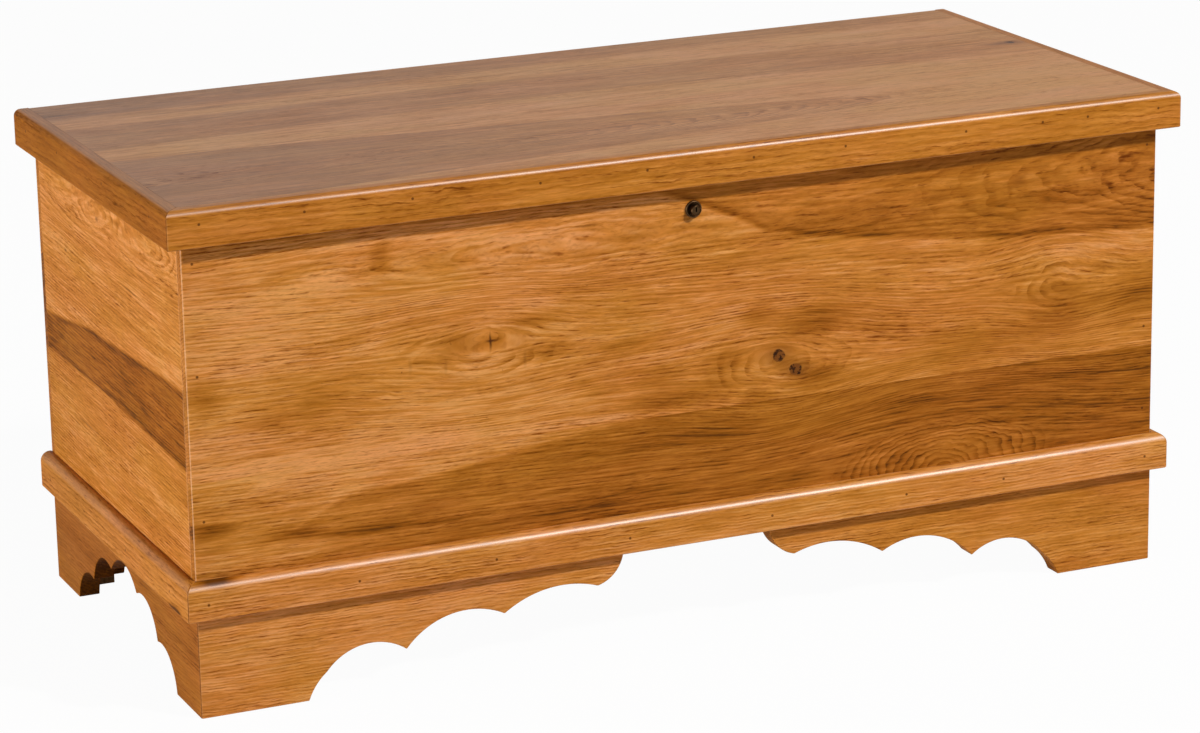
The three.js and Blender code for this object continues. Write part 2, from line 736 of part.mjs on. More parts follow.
// The lock is drawn about its own axis, with y counted inwards from the panel's face
function buildLock() {
  const lock = new THREE.Group();
  lock.position.set(0, frontFace, lockLevel);
  chest.add(lock);

  const guideBore = plungerRadius + fitGap;
  const rimEase = bezelProud / 3;
  const shoulder = flangeFront - glueLine;
  const barrel = [
    [guideBore, bezelDish - bezelProud],
    [bezelRadius - bezelRim, bezelDish - bezelProud],
    [bezelRadius - bezelRim + rimEase, -bezelProud],
    [bezelRadius - rimEase, -bezelProud],
    [bezelRadius, rimEase - bezelProud],
    [bezelRadius, -glueLine],
    [barrelRadius, -glueLine],
    [barrelRadius, barrelEnd],
    [springBore, barrelEnd],
    [springBore, shoulder],
    [guideBore, shoulder],
  ];
  turnedPiece("lock_barrel", barrel, materials.agedBronze, lock, true);

  const cap = [[boltBore, capStart], [barrelRadius, capStart], [barrelRadius, lockEnd], [boltBore, lockEnd]];
  turnedPiece("lock_end_cap", cap, materials.agedBronze, lock, true);

  const nutBlank = barAlongY(nutRadius, nutStart, nutStart + nutThickness, nutSides);
  const nutHole = barAlongY(barrelRadius + fitGap, nutStart - overrun, barrelEnd, lockSegments);
  piece("lock_nut", cut(nutBlank, nutHole), materials.steel, [0, 0, 0], lock);

  const plugBore = keyPlugRadius + fitGap;
  const plungerFace = -plungerProud;
  const socketEnd = plungerRear - boltSocket;
  const plunger = [
    [0, keyPlugRear + glueLine],
    [plugBore, keyPlugRear + glueLine],
    [plugBore, plungerFace],
    [plungerRadius - plungerEase, plungerFace],
    [plungerRadius, plungerFace + plungerEase],
    [plungerRadius, flangeFront],
    [springBore - fitGap, flangeFront],
    [springBore - fitGap, plungerRear],
    [boltBore, plungerRear],
    [boltBore, socketEnd],
    [0, socketEnd],
  ];
  turnedPiece("lock_plunger", plunger, materials.agedBronze, lock, false);

  const plugBlank = barAlongY(keyPlugRadius, keyPlugFace, keyPlugRear, lockSegments);
  const keySlot = block(
    [-keySlotWidth / 2, keySlotWidth / 2],
    [keyPlugFace - overrun, keyPlugFace + keySlotDepth],
    [keySlotLift - keySlotHeight / 2, keySlotLift + keySlotHeight / 2],
  );
  piece("lock_key_plug", cut(plugBlank, keySlot), materials.agedBronze, [0, 0, 0], lock);

  const boltStart = socketEnd + glueLine;
  const bolt = [
    [0, boltStart],
    [boltRadius, boltStart],
    [boltRadius, boltEnd - boltEase],
    [boltRadius - boltEase, boltEnd],
    [0, boltEnd],
  ];
  turnedPiece("lock_bolt", bolt, materials.steel, lock, false);
  piece("lock_spring", springGeometry(), materials.steel, [0, 0, 0], lock);
}

function buildStrike() {
  const halfStrike = strikeWidth / 2;
  const acrossX = [-halfStrike, halfStrike];
  const plateSpan = [strikeFace, strikeFace + strikeThickness];
  const flangeSpan = [strikeFace, strikeFace + strikeThickness + strikeFlange];
  const shape = joined(
    block(acrossX, plateSpan, [strikeBottom, strikeTop]),
    block(acrossX, flangeSpan, [strikeTop - strikeThickness, strikeTop]),
  );
  const hole = block(
    [-strikeHole, strikeHole],
    [strikeFace - overrun, plateSpan[1] + overrun],
    [lockLevel - strikeHole, lockLevel + strikeHole],
  );
  const cavities = strikeScrewSites.map((site) => screwCavity(site, [0, 0, 0]));
  piece("lock_strike", cut(shape, hole, ...cavities), materials.agedBrass);
  strikeScrewSites.forEach((site, i) => addScrew(`strike_screw_${i + 1}`, site, chest));
}

buildPanels();
buildFloor();
buildFeet();
buildBaseMoulding();
buildLid();
buildBumpers();
for (const [hand, centre] of Object.entries(hingeCentres)) buildHinge(hand, centre);
buildLock();
buildStrike();

export default chest;
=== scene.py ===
"""Looks, light and camera for a hardwood blanket chest on scalloped bracket feet."""

import json
import math
from dataclasses import dataclass, replace

import bpy
from bpy.props import FloatProperty, FloatVectorProperty, PointerProperty
from bpy.types import Operator, Panel, PropertyGroup
from mathutils import Matrix, Vector


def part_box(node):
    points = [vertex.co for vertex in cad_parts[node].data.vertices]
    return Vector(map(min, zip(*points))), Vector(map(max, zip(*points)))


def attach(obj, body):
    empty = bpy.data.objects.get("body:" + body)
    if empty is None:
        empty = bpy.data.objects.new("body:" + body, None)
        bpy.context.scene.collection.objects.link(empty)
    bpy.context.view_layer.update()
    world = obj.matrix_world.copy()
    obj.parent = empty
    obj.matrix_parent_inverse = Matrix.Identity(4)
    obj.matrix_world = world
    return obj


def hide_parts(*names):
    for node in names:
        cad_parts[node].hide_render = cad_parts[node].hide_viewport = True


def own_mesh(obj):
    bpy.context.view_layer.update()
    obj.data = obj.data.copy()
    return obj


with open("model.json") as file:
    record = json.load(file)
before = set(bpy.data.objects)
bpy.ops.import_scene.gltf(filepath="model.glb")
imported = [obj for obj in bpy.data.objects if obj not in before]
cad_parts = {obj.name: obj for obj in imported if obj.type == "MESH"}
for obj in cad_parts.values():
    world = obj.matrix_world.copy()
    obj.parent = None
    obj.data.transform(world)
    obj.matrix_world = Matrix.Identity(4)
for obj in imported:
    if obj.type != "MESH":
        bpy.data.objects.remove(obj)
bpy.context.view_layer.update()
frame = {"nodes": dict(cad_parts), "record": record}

bl_info = {
    "name": "Blanket chest",
    "version": (1, 0, 0),
    "blender": (4, 5, 0),
    "location": "3D View > Sidebar > Chest",
    "description": "Finishes a blanket chest's wood and hardware, and sets its stage",
    "category": "Object",
}

# Lumps in a metre of each noise in the wood: along the grain, across it and through the board
BEND = (1.1, 6, 6)
RIPPLE = (8, 26, 26)
QUIVER = (60, 70, 70)
BLOTCH = (9, 24, 24)
PATCHES = (16, 34, 34)
BLUSH = (5, 14, 14)
UNEVEN_YEARS = (1.2, 40, 40)
STRONG_YEARS = (1.2, 90, 90)
BANDS = (1.5, 28, 28)
STREAKS = (7, 170, 170)
THREADS = (26, 420, 420)
SMALL_PORES = (160, 1500, 1500)
OPEN_PORES = (66, 720, 720)
PORE_PATCHES = (6, 50, 50)
LUSTRE = (60, 480, 480)
KNOT_OUTLINE = (170, 170, 0)
KNOT_MOTTLE = (180, 180, 0)
RUBBED = (60, 60, 60)

# Lumps in a ring of an eye
EYE_RINGS = (0.7, 1, 1)

# How far apart in the tree the boards of a panel come from, in metres
BOARD_SHIFT = 5.3

# How strongly the grain lines part round a knot and round an eye
KNOT_PARTS = 0.85
EYE_PARTS = 0.6

# Half the width of the heartwood's edge, and the width of its darker rim, in metres
HEART_BLUR = 0.0016
HEART_RIM = 0.004

# How much darker the end grain takes the stain
END_GRAIN_TONE = 0.28

# Tints between which the boards' colour changes from place to place
GREENER = (0.975, 1.0, 0.88)
REDDER = (1.025, 0.99, 1.11)

# Where the pale edge line, partly rubbed stain and partly a painted highlight, begins and is full, in
# metres from a board's edge
ARRIS = (0.0018, 0.0005)

BRAD_RADIUS = 0.0022
COAT_ROUGHNESS = 0.39
COAT_IOR = 1.67

# Pieces' corners that are nearer than this are one, in metres
MERGED_WITHIN = 0.00001

# Faces that turn less than this are one face, and edges that turn more than this are rounded
ONE_FACE = math.radians(1)
SHARP_EDGE = math.radians(32)

FLOOR_REACH = 30
LIT_POINT = (0, 0, 0.25)
KEY_PLACE = (2.94, -4.42, 4.82)
KEY_SIZE = (0.45, 0.45)
FILL_PLACE = (-6, -0.5, 0.6)
FILL_SIZE = (3, 1)
LAMP_COLOUR = (1, 0.98, 0.95)
CAMERA_PLACE = (-1.6820, -3.8311, 1.4358)
CAMERA_YAW = 0.41334
CAMERA_PITCH = 0.28134
CAMERA_ROLL = -0.01884
CAMERA_SHIFT = (0.00032, -0.00084)
FARTHEST_SEEN = 100


def linear(*shown):
    """A colour given as a screen shows it, 0 to 255, as linear red, green and blue."""
    shares = [level / 255 for level in shown]
    return tuple(s / 12.92 if s <= 0.04045 else ((s + 0.055) / 1.055) ** 2.4 for s in shares)


def colour_property(name, description, *shown):
    kind = {"subtype": "COLOR", "min": 0, "max": 1}
    return FloatVectorProperty(name=name, description=description, default=linear(*shown), **kind)


def length_property(name, description, metres):
    kind = {"unit": "LENGTH", "subtype": "DISTANCE", "precision": 5}
    return FloatProperty(name=name, description=description, default=metres, **kind)


def share_property(name, description, share):
    kind = {"subtype": "FACTOR", "min": 0, "max": 1}
    return FloatProperty(name=name, description=description, default=share, **kind)


def power_property(name, description, watts):
    return FloatProperty(name=name, description=description, unit="POWER", default=watts)


class ChestWood(PropertyGroup):
    """Stained and lacquered hardwood"""

    sapwood: colour_property("Sapwood", "The palest wood, stained", 217, 151, 86)
    honey: colour_property("Honey", "The common colour of the boards", 197, 127, 54)
    amber: colour_property("Amber", "Where sapwood turns to heartwood", 175, 108, 35)
    heartwood: colour_property("Heartwood", "The dark middle of the tree", 145, 83, 17)
    streak: colour_property("Streak", "The darkest bands in the heartwood", 100, 55, 11)
    pore: colour_property("Pore", "Tint of the stain caught in open pores", 166, 134, 82)
    # Painted sheen: a pale grey blended into upward faces, standing in for the reflected wash on the
    # lid
    painted_sheen: colour_property("Bleached", "Where daylight has faded the stain", 190, 160, 130)
    knot: colour_property("Knot", "The middle of a knot", 112, 64, 24)
    crack: colour_property("Crack", "The black of a knot's cracks", 30, 17, 8)
    # Pale edge colour: partly stain rubbed off, partly a painted highlight along the arrises
    wear_and_highlight: colour_property("Worn edge", "Where the stain is rubbed off an edge", 236, 190, 150)
    filler: colour_property("Filler", "Wax over the set brads", 84, 44, 16)
    edge_ease: length_property("Eased edge", "How far the edges are sanded round", 0.0009)
    roughness: share_property("Roughness", "Roughness of the rubbed lacquer", 0.42)


class ChestInnerWood(PropertyGroup):
    """Plain sanded wood inside and under the chest"""

    pale: colour_property("Pale", "Early wood", 214, 184, 138)
    middle: colour_property("Middle", "The common colour", 198, 162, 112)
    dark: colour_property("Dark", "Late wood", 164, 122, 74)
    pore: colour_property("Pore", "Dirt in the grain", 120, 86, 50)
    ring_width: length_property("Ring width", "One year's growth", 0.0042)
    edge_ease: length_property("Eased edge", "How far the edges are sanded round", 0.0006)
    roughness: share_property("Roughness", "Roughness of bare wood", 0.72)


class ChestMetal(PropertyGroup):
    """Hinges, lock, strike and screws"""

    brass: colour_property("Brass", "Antiqued brass", 150, 118, 66)
    brass_tarnish: colour_property("Tarnish", "Brown film on the brass", 84, 58, 32)
    bronze: colour_property("Bronze", "Dark bronze of the lock", 78, 57, 36)
    # Brighter bronze: rubbed patches, and a painted highlight on the front rims
    bronze_wear_and_highlight: colour_property("Worn bronze", "Where hands have rubbed the lock", 190, 150, 108)
    steel: colour_property("Steel", "Zinc plate", 176, 178, 182)
    steel_film: colour_property("Dull steel", "Film on the zinc plate", 120, 112, 100)
    rubber: colour_property("Rubber", "The lid's bumpers", 38, 34, 31)
    dust: colour_property("Dust", "Dust in the rubber", 120, 112, 104)
    edge_ease: length_property("Eased edge", "How far the metal's edges are rounded", 0.0003)


class ChestStage(PropertyGroup):
    """Floor, lights and camera"""

    floor_colour: colour_property("Floor", "The pale floor", 224, 224, 224)
    floor_glow: share_property("Floor glow", "How far the floor fades into a white backdrop", 0.965)
    mirrored_glow: share_property("Mirrored glow", "How far polished things see that backdrop", 0.2)
    key_power: power_property("Key light", "Power of the main light", 440)
    fill_power: power_property("Fill light", "Power of the left light", 285)
    sky: share_property("Sky", "Strength of the even light from all round", 0.05)
    mirrored_sky: share_property("Mirrored sky", "Brightness of the sky in polished things", 0.25)
    lens: FloatProperty(name="Lens", description="Focal length", unit="CAMERA", default=123.645)


@dataclass
class Spot:
    """A place on a board: where it is along and across the grain, and how far it reaches."""

    along: float
    across: float
    length: float
    height: float
    amount: float = 1.0


@dataclass
class Eye:
    """Closed rings, where a bulge in the tree was cut through. An even eye's rings are unbroken."""

    along: float
    across: float
    length: float
    height: float
    rings: float
    amount: float
    even: float
    wobble: float


@dataclass
class Zone:
    """Part of a board between two lines, each a few points along and across the grain.

    On board 0 it stops at the first joint. It fades in along the board where it begins.
    """

    tone: float
    soft: float
    rim: float = 0.0
    low: tuple = ()
    high: tuple = ()
    board: int = -1
    begins: tuple = ()


@dataclass
class Sawn:
    """How a piece was sawn and finished.

    Its axes are those along the grain, across the board and through its thickness. A tone is 0 in the
    palest wood and 1 in the darkest. The pith lies across and through the board, and its distance
    grows by the taper along it.
    """

    axes: str = "xzy"
    seed: float = 0.0
    tone: float = 0.3
    joints: tuple = ()
    board_tones: tuple = ()
    pith: tuple = (-0.3, 0.4)
    taper: float = 0.01
    heart: float = 0.0
    heart_tone: float = 0.3
    heart_drift: float = 0.0
    heart_rings: tuple = ()
    wander: float = 0.02
    drift: float = 0.0
    banding: float = 0.5
    rings: float = 0.16
    ring_width: float = 0.0034
    sway: float = 0.0
    figure: float = 1.0
    pores: float = 1.0
    gloss: float = 0.06
    coat: float = 0.0
    round_coat: float = 0.0
    top_coat: float = 0.0
    # How far upward faces are blended toward the painted sheen
    painted_top_sheen: float = 0.0
    # How strongly the pale edge line shows: rubbed stain and a painted highlight
    wear_and_highlight: float = 0.3
    ease: float = 1.0
    # Painted light: tone added to upward faces only, lighter where negative
    painted_top_tone: float = 0.0
    knots: tuple = ()
    eyes: tuple = ()
    # Spots that darken the tone, or lighten it where their amount is negative
    tone_spots: tuple = ()
    marks: tuple = ()
    zones: tuple = ()
    brads: tuple = ()


class Value:
    """A node's output. Arithmetic on it adds Math nodes."""

    def __init__(self, graph, socket):
        self.graph = graph
        self.socket = socket

    def __add__(self, other):
        return self.graph.math("ADD", self, other)

    __radd__ = __add__

    def __sub__(self, other):
        return self.graph.math("SUBTRACT", self, other)

    def __rsub__(self, other):
        return self.graph.math("SUBTRACT", other, self)

    def __mul__(self, other):
        return self.graph.math("MULTIPLY", self, other)

    def __truediv__(self, other):
        return self.graph.math("DIVIDE", self, other)

    def __abs__(self):
        return self.graph.math("ABSOLUTE", self)

    def __gt__(self, other):
        return self.graph.math("GREATER_THAN", self, other)


class Graph:
    """Builds the nodes of one material or of the world."""

    def __init__(self, owner):
        owner.use_nodes = True
        self.tree = owner.node_tree
        self.tree.nodes.clear()

    def node(self, kind, settings=None, sockets=None, out=0):
        """Adds a node: first its settings, then its sockets' values or links, by name or place."""
        node = self.tree.nodes.new(kind)
        for key, value in (settings or {}).items():
            if key == "stops":
                self.set_stops(node.color_ramp, value)
            else:
                setattr(node, key, value)
        fed = sockets if isinstance(sockets, dict) else dict(enumerate(sockets or ()))
        for key, value in fed.items():
            if isinstance(value, Value):
                self.tree.links.new(value.socket, node.inputs[key])
            else:
                node.inputs[key].default_value = value
        return Value(self, node.outputs[out]) if node.outputs else None

    @staticmethod
    def set_stops(ramp, stops):
        while len(ramp.elements) < len(stops):
            ramp.elements.new(1)
        for element, (place, colour) in zip(ramp.elements, stops):
            element.position = place
            element.color = (*colour, 1)

    def math(self, operation, *values):
        return self.node("ShaderNodeMath", {"operation": operation}, values)

    def vector(self, *parts):
        return self.node("ShaderNodeCombineXYZ", None, parts)

    def split(self, vector):
        first = self.node("ShaderNodeSeparateXYZ", None, [vector])
        return [Value(self, socket) for socket in first.socket.node.outputs]

    def place(self, vector, scale, offset=(0, 0, 0)):
        """The vector times a scale plus an offset."""
        settings = {"operation": "MULTIPLY_ADD"}
        return self.node("ShaderNodeVectorMath", settings, [vector, scale, offset])

    def length(self, vector):
        return self.node("ShaderNodeVectorMath", {"operation": "LENGTH"}, [vector], out="Value")

    def noise(self, vector, scale, detail=2, roughness=0.5):
        """Noise between about -0.5 and 0.5, with one lump per unit of the scaled vector."""
        sockets = {
            "Vector": self.place(vector, scale),
            "Scale": 1,
            "Detail": detail,
            "Roughness": roughness,
        }
        return self.node("ShaderNodeTexNoise", {"noise_dimensions": "3D"}, sockets) - 0.5

    def smooth(self, value, start, end, low=0, high=1):
        """Goes smoothly from low to high as the value goes from start to end."""
        return self.node(
            "ShaderNodeMapRange",
            {"interpolation_type": "SMOOTHSTEP"},
            {"Value": value, "From Min": start, "From Max": end, "To Min": low, "To Max": high},
        )

    def blend(self, factor, first, second, mode="MIX"):
        """Blends two colours. The Mix node's colour sockets are its seventh and eighth."""
        settings = {"data_type": "RGBA", "blend_type": mode, "clamp_factor": True}
        return self.node("ShaderNodeMix", settings, {0: factor, 6: first, 7: second}, out=2)

    def ramp(self, value, stops, interpolation="LINEAR"):
        made = self.node("ShaderNodeValToRGB", {"stops": stops}, [value])
        made.socket.node.color_ramp.interpolation = interpolation
        return made

    def bump(self, strength, distance, height):
        """The normal of a surface that rises by the distance where the height is 1."""
        sockets = {"Strength": strength, "Distance": distance, "Height": height}
        return self.node("ShaderNodeBump", None, sockets)

    def surface(self, sockets):
        """The one shader, and the output."""
        shader = self.node("ShaderNodeBsdfPrincipled", None, sockets)
        self.node("ShaderNodeOutputMaterial", None, {"Surface": shader})


def rgba(colour):
    return (*colour, 1)


def new_graph(name):
    material = bpy.data.materials.new(name)
    return material, Graph(material)


def line_height(graph, along, points):
    """A smooth line through a few points, as its place across the grain."""
    start, end = points[0][0], points[-1][0]
    heights = [height for _, height in points]
    margin = 0.01
    low = min(heights) - margin
    span = max(heights) + margin - low
    stops = [((x - start) / (end - start), ((y - low) / span,) * 3) for x, y in points]
    share = graph.ramp((along - start) / (end - start), stops, "CARDINAL")
    return share * span + low


def zone_tone(graph, along, across, zone):
    """A zone's tone, with a darker rim just inside its edges."""
    gaps = []
    if zone.low:
        gaps.append(across - line_height(graph, along, zone.low))
    if zone.high:
        gaps.append(line_height(graph, along, zone.high) - across)
    gap = graph.math("MINIMUM", *gaps) if len(gaps) == 2 else gaps[0]
    mask = graph.smooth(gap, -zone.soft, zone.soft)
    rim = graph.smooth(gap, 0.012, 0.001, 0, zone.rim)
    return mask * (rim + zone.tone)


def season(graph, turns, begins=0.25, peak=0.9):
    """Late wood darkens slowly and ends sharply, year after year."""
    share = graph.math("FRACT", turns)
    return graph.smooth(share, begins, peak) * graph.smooth(share, 1, peak)


def spread(graph, plane, spot):
    """0 at a spot's middle and 1 at its edge."""
    scale = (1 / spot.length, 1 / spot.height, 0)
    offset = (-spot.along / spot.length, -spot.across / spot.height, 0)
    return graph.length(graph.place(plane, scale, offset))


def nearness(graph, plane, spot):
    """1 at a spot's middle and 0 from its edge outwards."""
    return graph.smooth(spread(graph, plane, spot), 1, 0)


def edge_distance(graph, parts, box):
    """How far a point is from the nearest edge of a piece's box."""
    low, high = box
    gaps = []
    for part, bottom, top in zip(parts, low, high):
        gaps.append(graph.math("MINIMUM", part - bottom, top - part))
    nearest = graph.math("MINIMUM", graph.math("MINIMUM", gaps[0], gaps[1]), gaps[2])
    furthest = graph.math("MAXIMUM", graph.math("MAXIMUM", gaps[0], gaps[1]), gaps[2])
    return gaps[0] + gaps[1] + gaps[2] - nearest - furthest


class Grain:
    """Where a point lies in its tree and on its board, and the noises that several steps share."""

    def __init__(self, graph, sawn):
        self.parts = graph.split(graph.node("ShaderNodeTexCoord", out="Object"))
        by_axis = dict(zip("xyz", self.parts))
        along, across, depth = (by_axis[axis] for axis in sawn.axes)
        normal = dict(zip("xyz", graph.split(graph.node("ShaderNodeTexCoord", out="Normal"))))
        self.end = graph.smooth(abs(normal[sawn.axes[0]]), 0.55, 0.9)
        self.up = normal["z"]
        self.flat_top = graph.smooth(self.up, 0.8, 0.96)

        # Each board of a glued-up panel comes from another part of the tree
        shift = sawn.seed
        tone = sawn.tone
        for joint, board_tone in zip(sawn.joints, sawn.board_tones):
            beyond = across > joint
            shift = beyond * BOARD_SHIFT + shift
            tone = beyond * board_tone + tone
        self.board_tone = tone
        self.stock = graph.vector(along + shift, across, depth)

        # Grain lines wander, and part round knots and eyes
        slow = graph.noise(self.stock, BEND, 1)
        ripple = graph.noise(self.stock, RIPPLE, 2)
        quiver = graph.noise(self.stock, QUIVER, 2)
        shaken_along = ripple * 0.008 + quiver * 0.003 + along
        shaken_across = ripple * 0.004 + quiver * 0.002 + across
        self.plane = graph.vector(shaken_along, shaken_across, 0)
        flow = slow * sawn.wander + ripple * 0.004 + quiver * 0.0016 + across
        for knot in sawn.knots:
            flow = flow - (across - knot.across) * nearness(graph, self.plane, knot) * KNOT_PARTS
        for eye in sawn.eyes:
            reach = Spot(eye.along, eye.across, eye.length * 1.7, eye.height * 2)
            flow = flow - (across - eye.across) * nearness(graph, self.plane, reach) * EYE_PARTS
        self.flow = flow
        self.fibre = graph.vector(along + shift, flow, depth)
        self.along, self.across, self.depth = along, across, depth
        self.ripple, self.quiver = ripple, quiver
        self.blotch = graph.noise(self.stock, BLOTCH, 3, 0.6)
        self.patches = graph.noise(self.stock, PATCHES, 2)


def growth_rings(graph, sawn, grain):
    """How far a point is from the pith, how late its wood is, and how much its rings show."""
    pith_across, pith_depth = sawn.pith
    off_pith = graph.vector(grain.flow - pith_across, grain.depth - pith_depth, 0)
    jitter = grain.quiver * sawn.ring_width * 0.7
    lengthwise = grain.along
    if sawn.sway:
        lengthwise = (grain.ripple + grain.quiver * 0.5) * sawn.sway + grain.along
    radius = graph.length(off_pith) + lengthwise * sawn.taper + jitter
    turns = radius / sawn.ring_width + graph.noise(grain.fibre, UNEVEN_YEARS, 1) * 2.2
    late = season(graph, turns)
    contrast = graph.noise(grain.fibre, STRONG_YEARS, 1) * sawn.rings * 2 + sawn.rings
    for eye in sawn.eyes:
        broken = graph.smooth(grain.patches, -0.12 - eye.even, 0.12 - eye.even)
        inside = graph.smooth(nearness(graph, grain.plane, eye), 0, 0.3) * broken
        away = spread(graph, grain.plane, eye) + grain.ripple * eye.wobble
        away = away + grain.quiver * eye.wobble * 0.3
        turn = away * eye.rings + grain.blotch
        strength = graph.noise(graph.vector(turn, eye.along * 50, 0), EYE_RINGS, 1) * 2.4 + 1
        late = late + (season(graph, turn) - late) * inside
        contrast = contrast + inside * strength * eye.amount
    return radius, late, contrast


def add_heartwood(graph, sawn, grain, radius, tone, contrast):
    """Darkens the wood inside the heart's radius, in the board that has the pith."""
    heart = graph.smooth(radius, sawn.heart + HEART_BLUR, sawn.heart - HEART_BLUR)
    rim = graph.smooth(radius, sawn.heart - HEART_RIM, sawn.heart, 0, 0.35)
    for joint in sawn.joints:
        beyond = grain.across > joint
        heart = heart * (beyond if joint < sawn.pith[0] else 1 - beyond)
    tone = heart * (rim + 1) * (grain.along * sawn.heart_drift + sawn.heart_tone) + tone
    if sawn.heart_rings:
        patchy = graph.smooth(grain.patches, -0.2, 0.1, 0.3, 1)
        shown = graph.smooth(grain.along, *sawn.heart_rings) * patchy
        contrast = contrast * (heart * shown * 0.85 + 0.15)
    return tone, contrast


def add_zones(graph, sawn, grain, tone):
    """Darkens the zones that are drawn on the board."""
    height = grain.ripple * 0.006 + grain.quiver * 0.001 + grain.across
    for zone in sawn.zones:
        shade = zone_tone(graph, grain.along, height, zone)
        if zone.board == 0:
            shade = shade * (1 - (grain.across > sawn.joints[0]))
        if zone.begins:
            shade = shade * graph.smooth(grain.along, *zone.begins, 0.45, 1)
        tone = shade + tone
    return tone


def wood_colour(graph, sawn, grain, tone):
    """The stained wood's colour by its tone, 0 at the palest, with a slight change of cast, and a
    painted sheen on upward faces where one is asked for.
    """
    wood = bpy.context.scene.chest_wood
    stops = [
        (0.0, wood.sapwood),
        (0.25, wood.honey),
        (0.5, wood.amber),
        (0.8, wood.heartwood),
        (1.0, wood.streak),
    ]
    colour = graph.ramp(tone, stops)
    blush = graph.smooth(graph.noise(grain.stock, BLUSH, 3, 0.6), -0.16, 0.16)
    cast = graph.blend(blush, rgba(GREENER), rgba(REDDER))
    colour = graph.blend(1.0, colour, cast, "MULTIPLY")
    # Painted sheen: upward faces are blended toward a pale grey
    if sawn.painted_top_sheen:
        colour = graph.blend(grain.flat_top * sawn.painted_top_sheen, colour, rgba(wood.painted_sheen))
    return colour


def add_defects(graph, sawn, grain, colour, pits):
    """Adds the knots, the short dark marks and the filled brads, and deepens the pits there."""
    wood = bpy.context.scene.chest_wood
    for knot in sawn.knots:
        outline = graph.noise(grain.plane, KNOT_OUTLINE, 2, 0.6)
        mottle = graph.noise(grain.plane, KNOT_MOTTLE, 3, 0.7)
        core = Spot(knot.along, knot.across, knot.amount * 1.5, knot.amount * 1.5)
        halo = Spot(knot.along, knot.across, knot.amount * 4.5, knot.amount * 2.8)
        dark = graph.smooth(nearness(graph, grain.plane, core) + outline * 0.5, 0.1, 0.3)
        black = dark * graph.smooth(mottle + outline * 0.3, -0.04, 0.08)
        colour = graph.blend(nearness(graph, grain.plane, halo) * 0.5, colour, rgba(wood.streak))
        colour = graph.blend(dark * 0.9, colour, rgba(wood.knot))
        colour = graph.blend(black * 0.9, colour, rgba(wood.crack))
        pits = pits + black * 0.8 + dark * 0.3
    for mark in sawn.marks:
        dark = nearness(graph, grain.plane, mark) * mark.amount
        colour = graph.blend(dark, colour, rgba(wood.filler))
        pits = pits + dark * 0.4
    for place in sawn.brads:
        face = graph.vector(grain.along, grain.across, 0)
        hole = nearness(graph, face, Spot(*place, BRAD_RADIUS, BRAD_RADIUS))
        hole = graph.smooth(hole, 0.1, 0.5)
        colour = graph.blend(hole * 0.8, colour, rgba(wood.filler))
        pits = pits + hole * 0.7
    return colour, pits


def hardwood(name, sawn, box):
    """Open-pored hardwood: rings, heartwood, knots and pores, under stain and lacquer."""
    wood = bpy.context.scene.chest_wood
    material, graph = new_graph(name)
    grain = Grain(graph, sawn)
    tone = grain.board_tone
    radius, late, contrast = growth_rings(graph, sawn, grain)
    if sawn.heart:
        tone, contrast = add_heartwood(graph, sawn, grain, radius, tone, contrast)
    if sawn.zones:
        tone = add_zones(graph, sawn, grain, tone)

    # Broad bands, fine streaks and blotches
    band = graph.noise(grain.fibre, BANDS, 3, 0.55)
    streak = graph.noise(grain.fibre, STREAKS, 3, 0.65)
    thread = graph.noise(grain.fibre, THREADS, 2, 0.6)
    figure = streak * 0.7 + thread * 0.85 + grain.blotch * 0.45
    tone = tone + grain.along * sawn.drift + band * sawn.banding + figure * sawn.figure - 0.05
    tone = tone + (late - 0.35) * contrast
    for tone_spot in sawn.tone_spots:
        near = nearness(graph, grain.plane, tone_spot)
        tone = tone + near * (grain.blotch * 1.2 + 1) * tone_spot.amount
    tone = tone + grain.end * END_GRAIN_TONE
    # Painted light: upward faces are made lighter or darker than the rest of the piece
    if sawn.painted_top_tone:
        tone = tone + grain.flat_top * sawn.painted_top_tone
    colour = wood_colour(graph, sawn, grain, tone)

    # Pores show as short dashes along the grain, closer together in the late wood
    fine = graph.noise(grain.fibre, SMALL_PORES, 1)
    dash = graph.noise(grain.fibre, OPEN_PORES, 2, 0.6)
    patch = graph.noise(grain.fibre, PORE_PATCHES, 3, 0.65)
    wide = graph.smooth(dash + patch * 0.6 + (late - 0.4) * 0.16, 0.03, 0.38) * sawn.pores
    narrow = graph.smooth(fine, -0.02, 0.26) * graph.smooth(patch, -0.2, 0.2, 0.4, 1)
    pores = graph.math("MAXIMUM", wide, narrow * sawn.pores * 0.42)
    colour = graph.blend(pores, colour, rgba(wood.pore), "MULTIPLY")
    lustre = graph.smooth(graph.noise(grain.fibre, LUSTRE, 2), -0.3, 0.3, 0.9, 1.1)
    colour = graph.blend(1.0, colour, graph.vector(lustre, lustre, lustre), "MULTIPLY")
    colour, pits = add_defects(graph, sawn, grain, colour, pores * 0.5)

    # Stain rubs off along the edges, and a painted highlight lightens them too
    if sawn.wear_and_highlight:
        arris = graph.smooth(edge_distance(graph, grain.parts, box), *ARRIS)
        rubbed_and_highlit = arris * graph.smooth(graph.noise(grain.stock, RUBBED, 2), -0.35, 0.05)
        colour = graph.blend(rubbed_and_highlit * sawn.wear_and_highlight, colour, rgba(wood.wear_and_highlight))

    coat = sawn.coat
    if sawn.round_coat or sawn.top_coat:
        rounded = graph.smooth(grain.up, 0.12, 0.4) * (1 - grain.flat_top)
        coat = rounded * sawn.round_coat + grain.flat_top * sawn.top_coat
    graph.surface(
        {
            "Base Color": colour,
            "Roughness": pores * 0.16 + grain.blotch * 0.12 + streak * 0.08 + wood.roughness,
            "Specular IOR Level": sawn.gloss,
            "Coat Weight": coat,
            "Coat Roughness": COAT_ROUGHNESS,
            "Coat IOR": COAT_IOR,
            "Normal": graph.bump(0.35, 0.0004, fine * 0.12 + lustre * 0.4 - pits),
        }
    )
    return material


